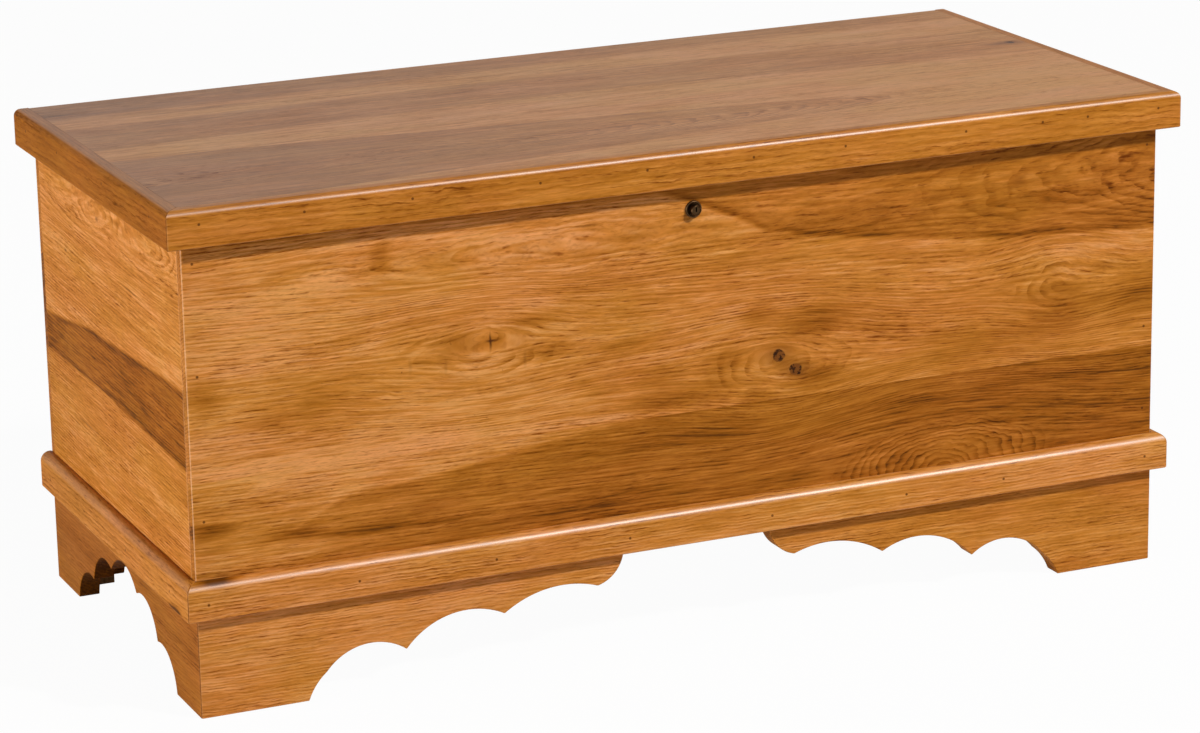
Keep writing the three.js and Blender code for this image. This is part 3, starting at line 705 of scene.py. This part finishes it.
def plain_wood(name, axes, seed):
    """Sanded, unfinished wood with straight grain."""
    wood = bpy.context.scene.chest_inner_wood
    material, graph = new_graph(name)
    by_axis = dict(zip("xyz", graph.split(graph.node("ShaderNodeTexCoord", out="Object"))))
    along, across, depth = (by_axis[axis] for axis in axes)
    slow = graph.noise(graph.vector(along + seed, across, depth), (1.2, 5, 5), 1)
    flow = slow * 0.03 + across
    fibre = graph.vector(along + seed, flow, depth)
    off_pith = graph.vector(flow - 0.04, depth + 0.05, 0)
    radius = graph.length(off_pith) + graph.noise(fibre, (9, 60, 60), 2) * 0.002
    late = season(graph, radius / wood.ring_width, 0.2, 0.94)
    tone = late * 0.4 + graph.noise(fibre, (1.5, 60, 60), 3) * 0.6 + 0.34
    colour = graph.ramp(tone, [(0.0, wood.pale), (0.5, wood.middle), (1.0, wood.dark)])
    pores = graph.smooth(graph.noise(fibre, (50, 1400, 1400), 1), 0.12, 0.3)
    fuzz = graph.noise(fibre, (120, 2600, 2600), 2)
    graph.surface(
        {
            "Base Color": graph.blend(pores * 0.3, colour, rgba(wood.pore)),
            "Roughness": pores * 0.1 + wood.roughness,
            "Normal": graph.bump(0.4, 0.0003, fuzz * 0.5 - pores * 0.6),
        }
    )
    return material


def tarnished(name, clean, film, roughness, coverage=0.5, box=None):
    """Old metal under a film, rubbed clean at its edges."""
    material, graph = new_graph(name)
    position = graph.node("ShaderNodeTexCoord", out="Object")
    cloud = graph.noise(position, (140, 140, 140), 4, 0.6)
    speck = graph.noise(position, (900, 900, 900), 3, 0.6)
    scratch = graph.noise(position, (300, 2600, 2600), 2, 0.5)
    covered = graph.smooth(cloud + speck * 0.4, 0.18 - 0.4 * coverage, 0.28 - 0.3 * coverage)
    if box:
        edge = edge_distance(graph, graph.split(position), box)
        covered = covered * (1 - graph.smooth(edge, 0.0014, 0.0003) * 0.75)
    graph.surface(
        {
            "Base Color": graph.blend(covered, rgba(clean), rgba(film)),
            "Metallic": 1.0 - covered * 0.25,
            "Roughness": covered * 0.14 + speck * 0.12 + scratch * 0.1 + roughness,
            "Normal": graph.bump(0.25, 0.0001, speck * 0.5 + scratch * 0.5),
        }
    )
    return material


def bright_rim(graph, radius, rim_radius, y, front):
    """1 on a thin ring at the front of a round part, and 0 elsewhere."""
    ring = graph.smooth(abs(radius - rim_radius), 0.0009, 0.0002)
    return ring * graph.smooth(y, front + 0.0012, front)


def dark_bronze(name):
    """The lock's bronze: dark, with rubbed patches, and bright rims on the bezel and the plunger that
    are partly wear and partly a painted highlight.
    """
    metal = bpy.context.scene.chest_metal
    low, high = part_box("lock_barrel")
    centre_x, level = (low.x + high.x) / 2, (low.z + high.z) / 2
    bezel_radius = (high.x - low.x) / 2
    plunger_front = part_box("lock_plunger")[0].y
    material, graph = new_graph(name)
    position = graph.node("ShaderNodeTexCoord", out="Object")
    x, y, z = graph.split(position)
    radius = graph.length(graph.vector(x - centre_x, z - level, 0))
    rim = bright_rim(graph, radius, bezel_radius - 0.0008, y, low.y)
    plunger_rim = bright_rim(graph, radius, 0.0049, y, plunger_front)
    cloud = graph.noise(position, (420, 420, 420), 3, 0.6)
    speck = graph.noise(position, (1500, 1500, 1500), 2, 0.6)
    # The bright front rims: partly wear, partly a painted highlight
    wear_and_highlight = graph.math("MAXIMUM", rim, plunger_rim) * graph.smooth(cloud, -0.25, 0.1) * 0.1
    wear_and_highlight = wear_and_highlight + graph.smooth(cloud + speck * 0.5, 0.16, 0.3) * 0.2
    graph.surface(
        {
            "Base Color": graph.blend(wear_and_highlight, rgba(metal.bronze), rgba(metal.bronze_wear_and_highlight)),
            "Metallic": 1.0,
            "Roughness": 0.34 + speck * 0.16,
            "Normal": graph.bump(0.2, 0.0001, speck),
        }
    )
    return material


def rubber(name):
    """Matt rubber with dust in it."""
    metal = bpy.context.scene.chest_metal
    material, graph = new_graph(name)
    position = graph.node("ShaderNodeTexCoord", out="Object")
    dust = graph.smooth(graph.noise(position, (700, 700, 700), 4, 0.65), 0.05, 0.3)
    graph.surface(
        {
            "Base Color": graph.blend(dust * 0.25, rgba(metal.rubber), rgba(metal.dust)),
            "Roughness": dust * 0.1 + 0.78,
            "Normal": graph.bump(0.3, 0.0001, dust),
        }
    )
    return material


def finish_piece(piece, material):
    """Gives a piece its material, with the corners that its faces share merged."""
    piece.data.materials.clear()
    piece.data.materials.append(material)
    piece.data.polygons.foreach_set("use_smooth", [True] * len(piece.data.polygons))
    weld = piece.modifiers.new("merged_corners", "WELD")
    weld.merge_threshold = MERGED_WITHIN


def add_object(name, data):
    thing = bpy.data.objects.new(name, data)
    bpy.context.scene.collection.objects.link(thing)
    return thing


def node_named(name):
    if name not in frame["nodes"]:
        raise RuntimeError(f"the chest has no piece named {name}")
    return frame["nodes"][name]


def dress(name, material, ease):
    """Gives a piece its finish, and rounds its edges a little."""
    piece = node_named(name)
    finish_piece(piece, material)
    flat = piece.modifiers.new("whole_faces", "DECIMATE")
    flat.decimate_type = "DISSOLVE"
    flat.angle_limit = ONE_FACE
    rounded = piece.modifiers.new("eased_edges", "BEVEL")
    rounded.width = ease
    rounded.segments = 2
    rounded.limit_method = "ANGLE"
    rounded.angle_limit = SHARP_EDGE
    rounded.miter_outer = "MITER_ARC"
    piece.modifiers.new("flat_faces_look_flat", "WEIGHTED_NORMAL")


def dress_hardwood(name, sawn):
    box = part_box(name)
    ease = bpy.context.scene.chest_wood.edge_ease * sawn.ease
    dress(name, hardwood(name, sawn, box), ease)


# How pieces lie: the axes along their grain, across it and through their thickness
FRONT_LIE = "xzy"
SIDE_LIE = "yzx"
TOP_LIE = "xyz"

FRONT_PANEL = Sawn(
    axes=FRONT_LIE,
    seed=0.4,
    tone=0.335,
    joints=(0.239,),
    board_tones=(-0.02,),
    pith=(0.62, -0.1),
    taper=-0.03,
    wander=0.016,
    drift=0.19,
    banding=0.4,
    rings=0.12,
    # A strong pale line along the edges: rubbed stain and a painted highlight
    wear_and_highlight=0.8,
    knots=(
        Spot(-0.2207, 0.3407, 0.07, 0.024, 0.001),
        Spot(0.0937, 0.2846, 0.06, 0.022, 0.0062),
        Spot(0.1122, 0.2676, 0.05, 0.02, 0.0062),
    ),
    eyes=(
        Eye(0.285, 0.141, 0.16, 0.068, 15, 0.14, 0.3, 0.3),
        Eye(1.1, 0.432, 1.15, 0.13, 30, 0.09, 0.1, 0.12),
        Eye(0.42, 0.318, 0.07, 0.04, 5, 0.14, 0.0, 0.5),
        Eye(-0.235, 0.33, 0.11, 0.045, 5, 0.2, 0.0, 0.4),
        Eye(-0.16, 0.43, 0.3, 0.03, 5, 0.12, 0.0, 0.4),
        Eye(0.1, 0.277, 0.11, 0.05, 7, 0.03, 0.0, 0.4),
    ),
    zones=(
        Zone(
            tone=0.34,
            soft=0.003,
            rim=0.06,
            high=(
                (-0.54, 0.17), (-0.43, 0.178), (-0.385, 0.2), (-0.33, 0.209),
                (-0.21, 0.221), (-0.1, 0.2355), (-0.05, 0.241), (0.54, 0.245),
            ),
            board=0,
            begins=(-0.46, -0.3),
        ),
        Zone(
            tone=0.24,
            soft=0.004,
            rim=0.3,
            low=(
                (-0.04, 0.47), (0.066, 0.4255), (0.109, 0.412),
                (0.172, 0.399), (0.33, 0.379), (0.54, 0.369),
            ),
        ),
    ),
    tone_spots=(
        Spot(-0.515, 0.322, 0.035, 0.03, 0.3),
        Spot(-0.42, 0.295, 0.16, 0.05, 0.22),
        Spot(0.072, 0.33, 0.03, 0.022, 0.34),
        Spot(0.135, 0.316, 0.06, 0.024, 0.34),
        Spot(0.035, 0.28, 0.04, 0.028, 0.3),
        Spot(0.07, 0.243, 0.03, 0.016, 0.26),
        Spot(-0.02, 0.252, 0.1, 0.02, 0.42),
        Spot(-0.08, 0.284, 0.12, 0.022, 0.2),
        Spot(0.142, 0.258, 0.045, 0.02, 0.34),
        Spot(-0.165, 0.325, 0.05, 0.018, 0.36),
        Spot(-0.178, 0.356, 0.035, 0.012, 0.28),
        Spot(-0.255, 0.342, 0.035, 0.024, 0.28),
        Spot(-0.08, 0.316, 0.09, 0.016, 0.26),
        Spot(0.34, 0.27, 0.14, 0.04, 0.2),
        Spot(0.42, 0.3, 0.06, 0.04, 0.24),
        Spot(0.52, 0.3, 0.07, 0.04, 0.34),
        Spot(-0.332, 0.439, 0.018, 0.026, 0.34),
        Spot(-0.355, 0.424, 0.03, 0.014, 0.24),
        Spot(-0.2195, 0.341, 0.024, 0.014, 0.5),
        Spot(-0.52, 0.189, 0.045, 0.013, 0.62),
        Spot(-0.43, 0.176, 0.05, 0.012, 0.4),
        Spot(-0.35, 0.167, 0.1, 0.008, 0.42),
        Spot(-0.47, 0.16, 0.14, 0.018, -0.2),
        Spot(-0.34, 0.19, 0.1, 0.014, -0.16),
        Spot(0.36, 0.217, 0.3, 0.012, 0.2),
        Spot(-0.1, 0.155, 0.2, 0.02, 0.2),
        Spot(0.0, 0.212, 0.24, 0.012, 0.14),
        Spot(-0.39, 0.421, 0.08, 0.018, -0.24),
        Spot(-0.2, 0.45, 0.3, 0.03, -0.12),
        Spot(-0.44, 0.39, 0.16, 0.06, -0.1),
        Spot(0.44, 0.353, 0.14, 0.014, -0.24),
        Spot(-0.36, 0.24, 0.22, 0.024, -0.24),
        Spot(-0.1, 0.244, 0.07, 0.006, -0.3),
        Spot(0.3, 0.17, 0.08, 0.03, -0.14),
    ),
    marks=(
        Spot(-0.2207, 0.3407, 0.0023, 0.0135, 1.0),
        Spot(-0.2195, 0.3412, 0.0095, 0.002, 0.95),
        Spot(0.37, 0.434, 0.012, 0.008, 0.25),
        Spot(-0.306, 0.326, 0.003, 0.014, 0.2),
        Spot(-0.268, 0.321, 0.003, 0.014, 0.2),
        Spot(-0.184, 0.319, 0.003, 0.013, 0.3),
        Spot(-0.12, 0.445, 0.024, 0.0018, 0.4),
    ),
    brads=(
        (-0.522, 0.456),
        (-0.522, 0.345),
        (-0.522, 0.2),
        (0.522, 0.456),
        (0.522, 0.26),
        (0.522, 0.17),
    ),
)

LID_PANEL = Sawn(
    axes=TOP_LIE,
    seed=2.1,
    tone=0.18,
    joints=(-0.029,),
    board_tones=(-0.02,),
    pith=(-0.131, 0.455),
    taper=0.0833,
    heart=0.0813,
    heart_tone=0.28,
    heart_drift=-0.2,
    heart_rings=(-0.3, 0.1),
    wander=0.012,
    drift=-0.26,
    banding=0.3,
    rings=0.36,
    ring_width=0.0021,
    sway=0.05,
    pores=0.8,
    gloss=0.45,
    coat=0.1,
    # Painted sheen on the lid's top face
    painted_top_sheen=0.12,
    wear_and_highlight=0,
    ease=0.25,
    knots=(Spot(0.52, 0.052, 0.06, 0.022, 0.005),),
    eyes=(Eye(-0.52, -0.112, 0.34, 0.04, 30, 0.08, 0.1, 0.12),),
    zones=(
        Zone(
            tone=0.27,
            soft=0.004,
            low=(
                (-0.56, 0.024), (-0.3, 0.036), (-0.1, 0.045),
                (0.1, 0.042), (0.26, 0.018), (0.56, 0.0),
            ),
            high=((-0.56, 0.13), (0.0, 0.138), (0.56, 0.13)),
        ),
        Zone(tone=0.36, soft=0.014, low=((-0.56, 0.176), (0.0, 0.194), (0.56, 0.2))),
    ),
    tone_spots=(
        Spot(-0.36, 0.163, 0.09, 0.008, 0.34),
        Spot(0.05, 0.155, 0.06, 0.006, 0.34),
        Spot(0.51, 0.05, 0.04, 0.014, 0.35),
        Spot(-0.5, 0.0, 0.3, 0.03, -0.16),
        Spot(-0.52, 0.2, 0.3, 0.08, 0.12),
    ),
)

SIDE_PANEL_LEFT = Sawn(
    axes=SIDE_LIE,
    seed=4.7,
    tone=0.36,
    gloss=0.02,
    joints=(0.2585,),
    board_tones=(-0.04,),
    pith=(0.44, -0.56),
    taper=0.03,
    wander=0.022,
    banding=0.34,
    rings=0.14,
    eyes=(
        Eye(0.033, 0.45, 0.13, 0.034, 6, 0.2, 0.0, 0.7),
        Eye(0.15, 0.468, 0.12, 0.034, 6, 0.22, 0.0, 0.7),
        Eye(-0.14, 0.456, 0.12, 0.034, 6, 0.2, 0.0, 0.7),
    ),
    zones=(
        Zone(
            tone=0.5,
            soft=0.003,
            rim=0.16,
            low=((-0.24, 0.249), (0.0, 0.2585), (0.24, 0.2585)),
            high=((-0.24, 0.329), (0.0, 0.32), (0.1, 0.314), (0.24, 0.298)),
        ),
    ),
    marks=(
        Spot(0.033, 0.4425, 0.007, 0.004, 0.6),
        Spot(0.148, 0.3835, 0.007, 0.0026, 0.7),
        Spot(-0.07, 0.392, 0.045, 0.0016, 0.6),
        Spot(0.106, 0.209, 0.045, 0.0016, 0.55),
        Spot(-0.059, 0.216, 0.016, 0.0016, 0.45),
        Spot(-0.1, 0.169, 0.05, 0.0018, 0.35),
        Spot(-0.16, 0.166, 0.03, 0.0016, 0.35),
        Spot(-0.05, 0.178, 0.04, 0.0016, 0.25),
    ),
)

SIDE_PANEL_RIGHT = Sawn(
    axes=SIDE_LIE,
    seed=6.2,
    tone=0.27,
    joints=(0.21, 0.36),
    board_tones=(-0.04, 0.1),
    pith=(0.3, 0.5),
    taper=-0.03,
    heart=0.034,
    wander=0.02,
    banding=0.4,
    rings=0.18,
)

BACK_PANEL = Sawn(
    axes=FRONT_LIE,
    seed=8.9,
    tone=0.3,
    joints=(0.25, 0.38),
    board_tones=(0.06, -0.1),
    pith=(0.31, 0.21),
    taper=0.05,
    heart=0.03,
    wander=0.02,
    banding=0.44,
    rings=0.17,
)

TRIM = Sawn(axes=SIDE_LIE, wander=0.006, wear_and_highlight=0.1)

LID_BAND = replace(TRIM, gloss=0.02, top_coat=0.45, ease=0.2)

LID_BAND_FRONT = replace(
    LID_BAND,
    axes=FRONT_LIE,
    seed=11.3,
    tone=0.46,
    gloss=0.04,
    round_coat=0.85,
    top_coat=0.5,
    # Painted light: the band's top face lighter than its sides
    painted_top_tone=-0.1,
    figure=0.75,
    pith=(0.35, -0.5),
    banding=0.5,
    rings=0.1,
)

LID_BAND_LEFT = replace(
    LID_BAND,
    seed=13.6,
    tone=0.76,
    top_coat=0.62,
    # Painted light: the band's top face lighter than its sides
    painted_top_tone=-0.12,
    wear_and_highlight=0,
    figure=0.55,
    pores=0.7,
    pith=(0.3, -0.2),
    banding=0.3,
    rings=0.06,
)

LID_BAND_RIGHT = replace(
    LID_BAND,
    seed=15.2,
    tone=0.5,
    # Painted light: the band's top face lighter than its sides
    painted_top_tone=-0.06,
    figure=0.7,
    pith=(0.35, 0.2),
    banding=0.4,
    rings=0.16,
)

# Where the brads are along each length of band and moulding, and how far down they are
LID_BAND_FRONT_BRADS = (
    -0.519, -0.414, -0.304, -0.171, -0.057, 0.059, 0.161, 0.298, 0.387, 0.44, 0.524,
)
LID_BAND_LEFT_BRADS = (-0.2, -0.05, 0.1, 0.21)
LID_BAND_RIGHT_BRADS = (-0.2, -0.06, 0.08, 0.2)
MOULDING_FRONT_BRADS = (-0.525, -0.37, -0.225, -0.08, 0.079, 0.2335, 0.348, 0.5185)
MOULDING_SIDE_BRADS = (-0.19, -0.05, 0.09, 0.21)
LID_BAND_BRADS_DOWN = 0.015
MOULDING_BRADS_BELOW_MIDDLE = 0.0026

MOULDING = replace(TRIM, pith=(-0.1, -0.3), rings=0.14)

FOOT_FRONT = Sawn(
    axes=FRONT_LIE,
    pith=(-0.16, -0.2),
    taper=0.03,
    wander=0.014,
    wear_and_highlight=0.1,
    rings=0.13,
    figure=0.8,
)

FOOT_BACK = Sawn(axes=FRONT_LIE, tone=0.34, pith=(-0.1, 0.3), wander=0.012)

SIDE_APRON = Sawn(
    axes=SIDE_LIE,
    tone=0.72,
    pith=(-0.1, -0.6),
    taper=0.02,
    wander=0.012,
    wear_and_highlight=0.1,
    banding=0.4,
    rings=0.1,
    figure=0.6,
    pores=0.7,
)


def brad_row(places, level):
    return tuple((place, level) for place in places)


class CHEST_OT_carcase(Operator):
    """Finish the four panels of the chest"""

    bl_idname = "chest.carcase"
    bl_label = "Panels"

    def execute(self, context):
        dress_hardwood("front_panel", FRONT_PANEL)
        dress_hardwood("back_panel", BACK_PANEL)
        dress_hardwood("side_panel_left", SIDE_PANEL_LEFT)
        dress_hardwood("side_panel_right", SIDE_PANEL_RIGHT)
        return {"FINISHED"}


class CHEST_OT_lid(Operator):
    """Finish the lid and its band"""

    bl_idname = "chest.lid"
    bl_label = "Lid"

    def execute(self, context):
        dress_hardwood("lid_panel", LID_PANEL)
        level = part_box("lid_band_front")[1].z - LID_BAND_BRADS_DOWN
        bands = {
            "lid_band_front": (LID_BAND_FRONT, LID_BAND_FRONT_BRADS),
            "lid_band_left": (LID_BAND_LEFT, LID_BAND_LEFT_BRADS),
            "lid_band_right": (LID_BAND_RIGHT, LID_BAND_RIGHT_BRADS),
        }
        for name, (sawn, brads) in bands.items():
            dress_hardwood(name, replace(sawn, brads=brad_row(brads, level)))
        return {"FINISHED"}


class CHEST_OT_moulding(Operator):
    """Finish the base moulding"""

    bl_idname = "chest.moulding"
    bl_label = "Base moulding"

    def execute(self, context):
        low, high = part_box("base_moulding_front")
        level = (low.z + high.z) / 2 - MOULDING_BRADS_BELOW_MIDDLE
        front = replace(
            MOULDING,
            axes=FRONT_LIE,
            seed=17.8,
            tone=0.23,
            gloss=0.04,
            round_coat=1.0,
            figure=0.8,
            banding=0.36,
            # A dark patch on the moulding's top at its left end, by the joint with the panel
            tone_spots=(Spot(-0.515, high.z, 0.035, 0.007, 1.2),),
            brads=brad_row(MOULDING_FRONT_BRADS, level),
        )
        dress_hardwood("base_moulding_front", front)
        side = replace(
            MOULDING,
            tone=0.42,
            round_coat=0.3,
            figure=0.75,
            banding=0.4,
            # A dark patch along the moulding's lower edge near its front end
            tone_spots=(Spot(-0.205, low.z + 0.003, 0.03, 0.005, 0.9),),
            brads=brad_row(MOULDING_SIDE_BRADS, level),
        )
        dress_hardwood("base_moulding_left", replace(side, seed=19.1))
        dress_hardwood("base_moulding_right", replace(side, seed=21.4))
        return {"FINISHED"}


class CHEST_OT_feet(Operator):
    """Finish the feet and the aprons"""

    bl_idname = "chest.feet"
    bl_label = "Feet and aprons"

    def execute(self, context):
        for hand, seed, tone in (("left", 23.2, 0.22), ("right", 25.9, 0.4)):
            dress_hardwood(f"front_foot_{hand}", replace(FOOT_FRONT, seed=seed, tone=tone))
            dress_hardwood(f"back_foot_{hand}", replace(FOOT_BACK, seed=seed + 4))
            dress_hardwood(f"side_apron_{hand}", replace(SIDE_APRON, seed=seed + 8))
        return {"FINISHED"}


class CHEST_OT_inside(Operator):
    """Finish the bottom, its cleats, the glue blocks and the bumpers"""

    bl_idname = "chest.inside"
    bl_label = "Inside and underneath"

    def execute(self, context):
        ease = context.scene.chest_inner_wood.edge_ease
        lies = {
            "bottom_panel": TOP_LIE,
            "cleat_front": FRONT_LIE,
            "cleat_back": FRONT_LIE,
            "cleat_left": SIDE_LIE,
            "cleat_right": SIDE_LIE,
        }
        for end in ("front", "back"):
            for hand in ("left", "right"):
                lies[f"corner_block_{end}_{hand}"] = "zxy"
        for count, (name, axes) in enumerate(lies.items()):
            dress(name, plain_wood(name, axes, 31 + 2.7 * count), ease)
        soft = rubber("bumper_rubber")
        for hand in ("left", "right"):
            dress(f"bumper_{hand}", soft, context.scene.chest_metal.edge_ease)
        return {"FINISHED"}


class CHEST_OT_hinges(Operator):
    """Finish the hinges, the strike and their screws"""

    bl_idname = "chest.hinges"
    bl_label = "Hinges and strike"

    def execute(self, context):
        metal = context.scene.chest_metal
        for name in frame["nodes"]:
            if name.startswith("hinge_") and "screw" not in name or name == "lock_strike":
                brass = tarnished(name, metal.brass, metal.brass_tarnish, 0.3, 0.5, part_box(name))
                dress(name, brass, metal.edge_ease)
        steel = tarnished("plated_steel", metal.steel, metal.steel_film, 0.3, 0.2)
        for name in frame["nodes"]:
            if "screw" in name or name in ("lock_nut", "lock_bolt"):
                dress(name, steel, metal.edge_ease / 3)
        return {"FINISHED"}


def make_spring(metal):
    """A copy of the lock's spring, fixed to the carcase in place of the hidden original."""
    joints = {joint["name"]: joint for joint in frame["record"]["behaviour"]["joints"]}
    push = joints["lock_push"]
    fixed_end = push["deforming_nodes"][0]["fixed_end_y_m"]
    low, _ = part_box("lock_spring")
    whole = fixed_end - low.y
    kept = (whole - push["range_m"][1]) / whole
    spring = add_object("lock_spring_coils", node_named("lock_spring").data.copy())
    steel = tarnished("spring_steel", metal.steel, metal.steel_film, 0.3, 0.2)
    finish_piece(spring, steel)
    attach(spring, "carcase")
    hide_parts("lock_spring")
    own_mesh(spring)


class CHEST_OT_lock(Operator):
    """Finish the lock"""

    bl_idname = "chest.lock"
    bl_label = "Lock"

    def execute(self, context):
        bronze = dark_bronze("dark_bronze")
        for name in ("lock_barrel", "lock_end_cap", "lock_plunger", "lock_key_plug"):
            dress(name, bronze, context.scene.chest_metal.edge_ease)
        make_spring(context.scene.chest_metal)
        return {"FINISHED"}


class CHEST_OT_stage(Operator):
    """Set the floor, the lights and the camera"""

    bl_idname = "chest.stage"
    bl_label = "Stage"

    def execute(self, context):
        build_floor()
        build_world()
        build_lights()
        build_camera()
        context.scene.view_settings.view_transform = "Standard"
        return {"FINISHED"}


def light_paths(graph):
    """1 for the camera's rays, and 1 for the rays that polished and clear things send on."""
    camera = graph.node("ShaderNodeLightPath", out="Is Camera Ray")
    outputs = camera.socket.node.outputs
    glossy = Value(graph, outputs["Is Glossy Ray"])
    through = Value(graph, outputs["Is Transmission Ray"])
    return camera, graph.math("MAXIMUM", glossy, through)


def build_floor():
    stage = bpy.context.scene.chest_stage
    far = FLOOR_REACH
    mesh = bpy.data.meshes.new("floor")
    corners = [(-far, -far, 0), (far, -far, 0), (far, far, 0), (-far, far, 0)]
    mesh.from_pydata(corners, [], [(0, 1, 2, 3)])
    material, graph = new_graph("pale_floor")
    matt = graph.node("ShaderNodeBsdfDiffuse", None, {"Color": rgba(stage.floor_colour)})
    white = graph.node("ShaderNodeEmission", None, {"Color": (1, 1, 1, 1), "Strength": 1})
    camera, mirrored = light_paths(graph)
    share = camera * stage.floor_glow + mirrored * stage.mirrored_glow
    mixed = graph.node("ShaderNodeMixShader", None, [share, matt, white])
    graph.node("ShaderNodeOutputMaterial", None, {"Surface": mixed})
    mesh.materials.append(material)
    add_object("floor", mesh)


def build_world():
    """White to the eye and dim as a lamp. In reflections, dimmer overhead and to the right."""
    stage = bpy.context.scene.chest_stage
    world = bpy.data.worlds.new("studio")
    bpy.context.scene.world = world
    graph = Graph(world)
    camera, mirrored = light_paths(graph)
    toward_right, _, height = graph.split(graph.node("ShaderNodeTexCoord", out="Generated"))
    wall = graph.smooth(toward_right, 0.1, 0.7, 1.06, 0.44)
    dome = wall * graph.smooth(height, 0.15, 0.6, 1, stage.mirrored_sky)
    strength = camera + (1 - camera) * (mirrored * (dome - stage.sky) + stage.sky)
    sky = graph.node("ShaderNodeBackground", None, {"Color": (1, 1, 1, 1), "Strength": strength})
    graph.node("ShaderNodeOutputWorld", None, {"Surface": sky})


def area_light(name, place, size, power):
    light = bpy.data.lights.new(name, "AREA")
    light.shape = "RECTANGLE"
    light.size, light.size_y = size
    light.energy = power
    light.color = LAMP_COLOUR
    lamp = add_object(name, light)
    lamp.location = place
    lamp.rotation_mode = "QUATERNION"
    lamp.rotation_quaternion = (Vector(LIT_POINT) - Vector(place)).to_track_quat("-Z", "Y")


def build_lights():
    stage = bpy.context.scene.chest_stage
    area_light("key_light", KEY_PLACE, KEY_SIZE, stage.key_power)
    area_light("fill_light", FILL_PLACE, FILL_SIZE, stage.fill_power)


def build_camera():
    """Places the camera by its yaw, pitch and roll, in radians."""
    ahead = Vector((math.sin(CAMERA_YAW), math.cos(CAMERA_YAW), 0))
    view = math.cos(CAMERA_PITCH) * ahead - math.sin(CAMERA_PITCH) * Vector((0, 0, 1))
    level = Vector((math.cos(CAMERA_YAW), -math.sin(CAMERA_YAW), 0))
    upright = level.cross(view)
    right = math.cos(CAMERA_ROLL) * level + math.sin(CAMERA_ROLL) * upright
    up = math.cos(CAMERA_ROLL) * upright - math.sin(CAMERA_ROLL) * level
    camera = bpy.data.cameras.new("camera")
    camera.lens = bpy.context.scene.chest_stage.lens
    camera.shift_x, camera.shift_y = CAMERA_SHIFT
    camera.clip_end = FARTHEST_SEEN
    viewer = add_object("camera", camera)
    turned = Matrix((right, up, -view)).transposed().to_4x4()
    viewer.matrix_world = Matrix.Translation(CAMERA_PLACE) @ turned
    bpy.context.scene.camera = viewer


OPERATORS = (
    CHEST_OT_carcase,
    CHEST_OT_lid,
    CHEST_OT_moulding,
    CHEST_OT_feet,
    CHEST_OT_inside,
    CHEST_OT_hinges,
    CHEST_OT_lock,
    CHEST_OT_stage,
)

GROUPS = {
    "chest_wood": ChestWood,
    "chest_inner_wood": ChestInnerWood,
    "chest_metal": ChestMetal,
    "chest_stage": ChestStage,
}


class CHEST_PT_sidebar(Panel):
    """Lists the chest's settings and steps"""

    bl_idname = "CHEST_PT_sidebar"
    bl_label = "Blanket chest"
    bl_space_type = "VIEW_3D"
    bl_region_type = "UI"
    bl_category = "Chest"

    def draw(self, context):
        for operator in OPERATORS:
            self.layout.operator(operator.bl_idname)
        for name, group in GROUPS.items():
            box = self.layout.box()
            box.label(text=group.__doc__)
            for key in group.__annotations__:
                box.prop(getattr(context.scene, name), key)


CLASSES = (*GROUPS.values(), *OPERATORS, CHEST_PT_sidebar)


def register():
    for each in CLASSES:
        bpy.utils.register_class(each)
    for name, group in GROUPS.items():
        setattr(bpy.types.Scene, name, PointerProperty(type=group))


def unregister():
    for name in GROUPS:
        delattr(bpy.types.Scene, name)
    for each in reversed(CLASSES):
        bpy.utils.unregister_class(each)


def main():
    register()
    bpy.ops.chest.carcase()
    bpy.ops.chest.lid()
    bpy.ops.chest.moulding()
    bpy.ops.chest.feet()
    bpy.ops.chest.inside()
    bpy.ops.chest.hinges()
    bpy.ops.chest.lock()
    bpy.ops.chest.stage()


if __name__ == "__main__":
    main()
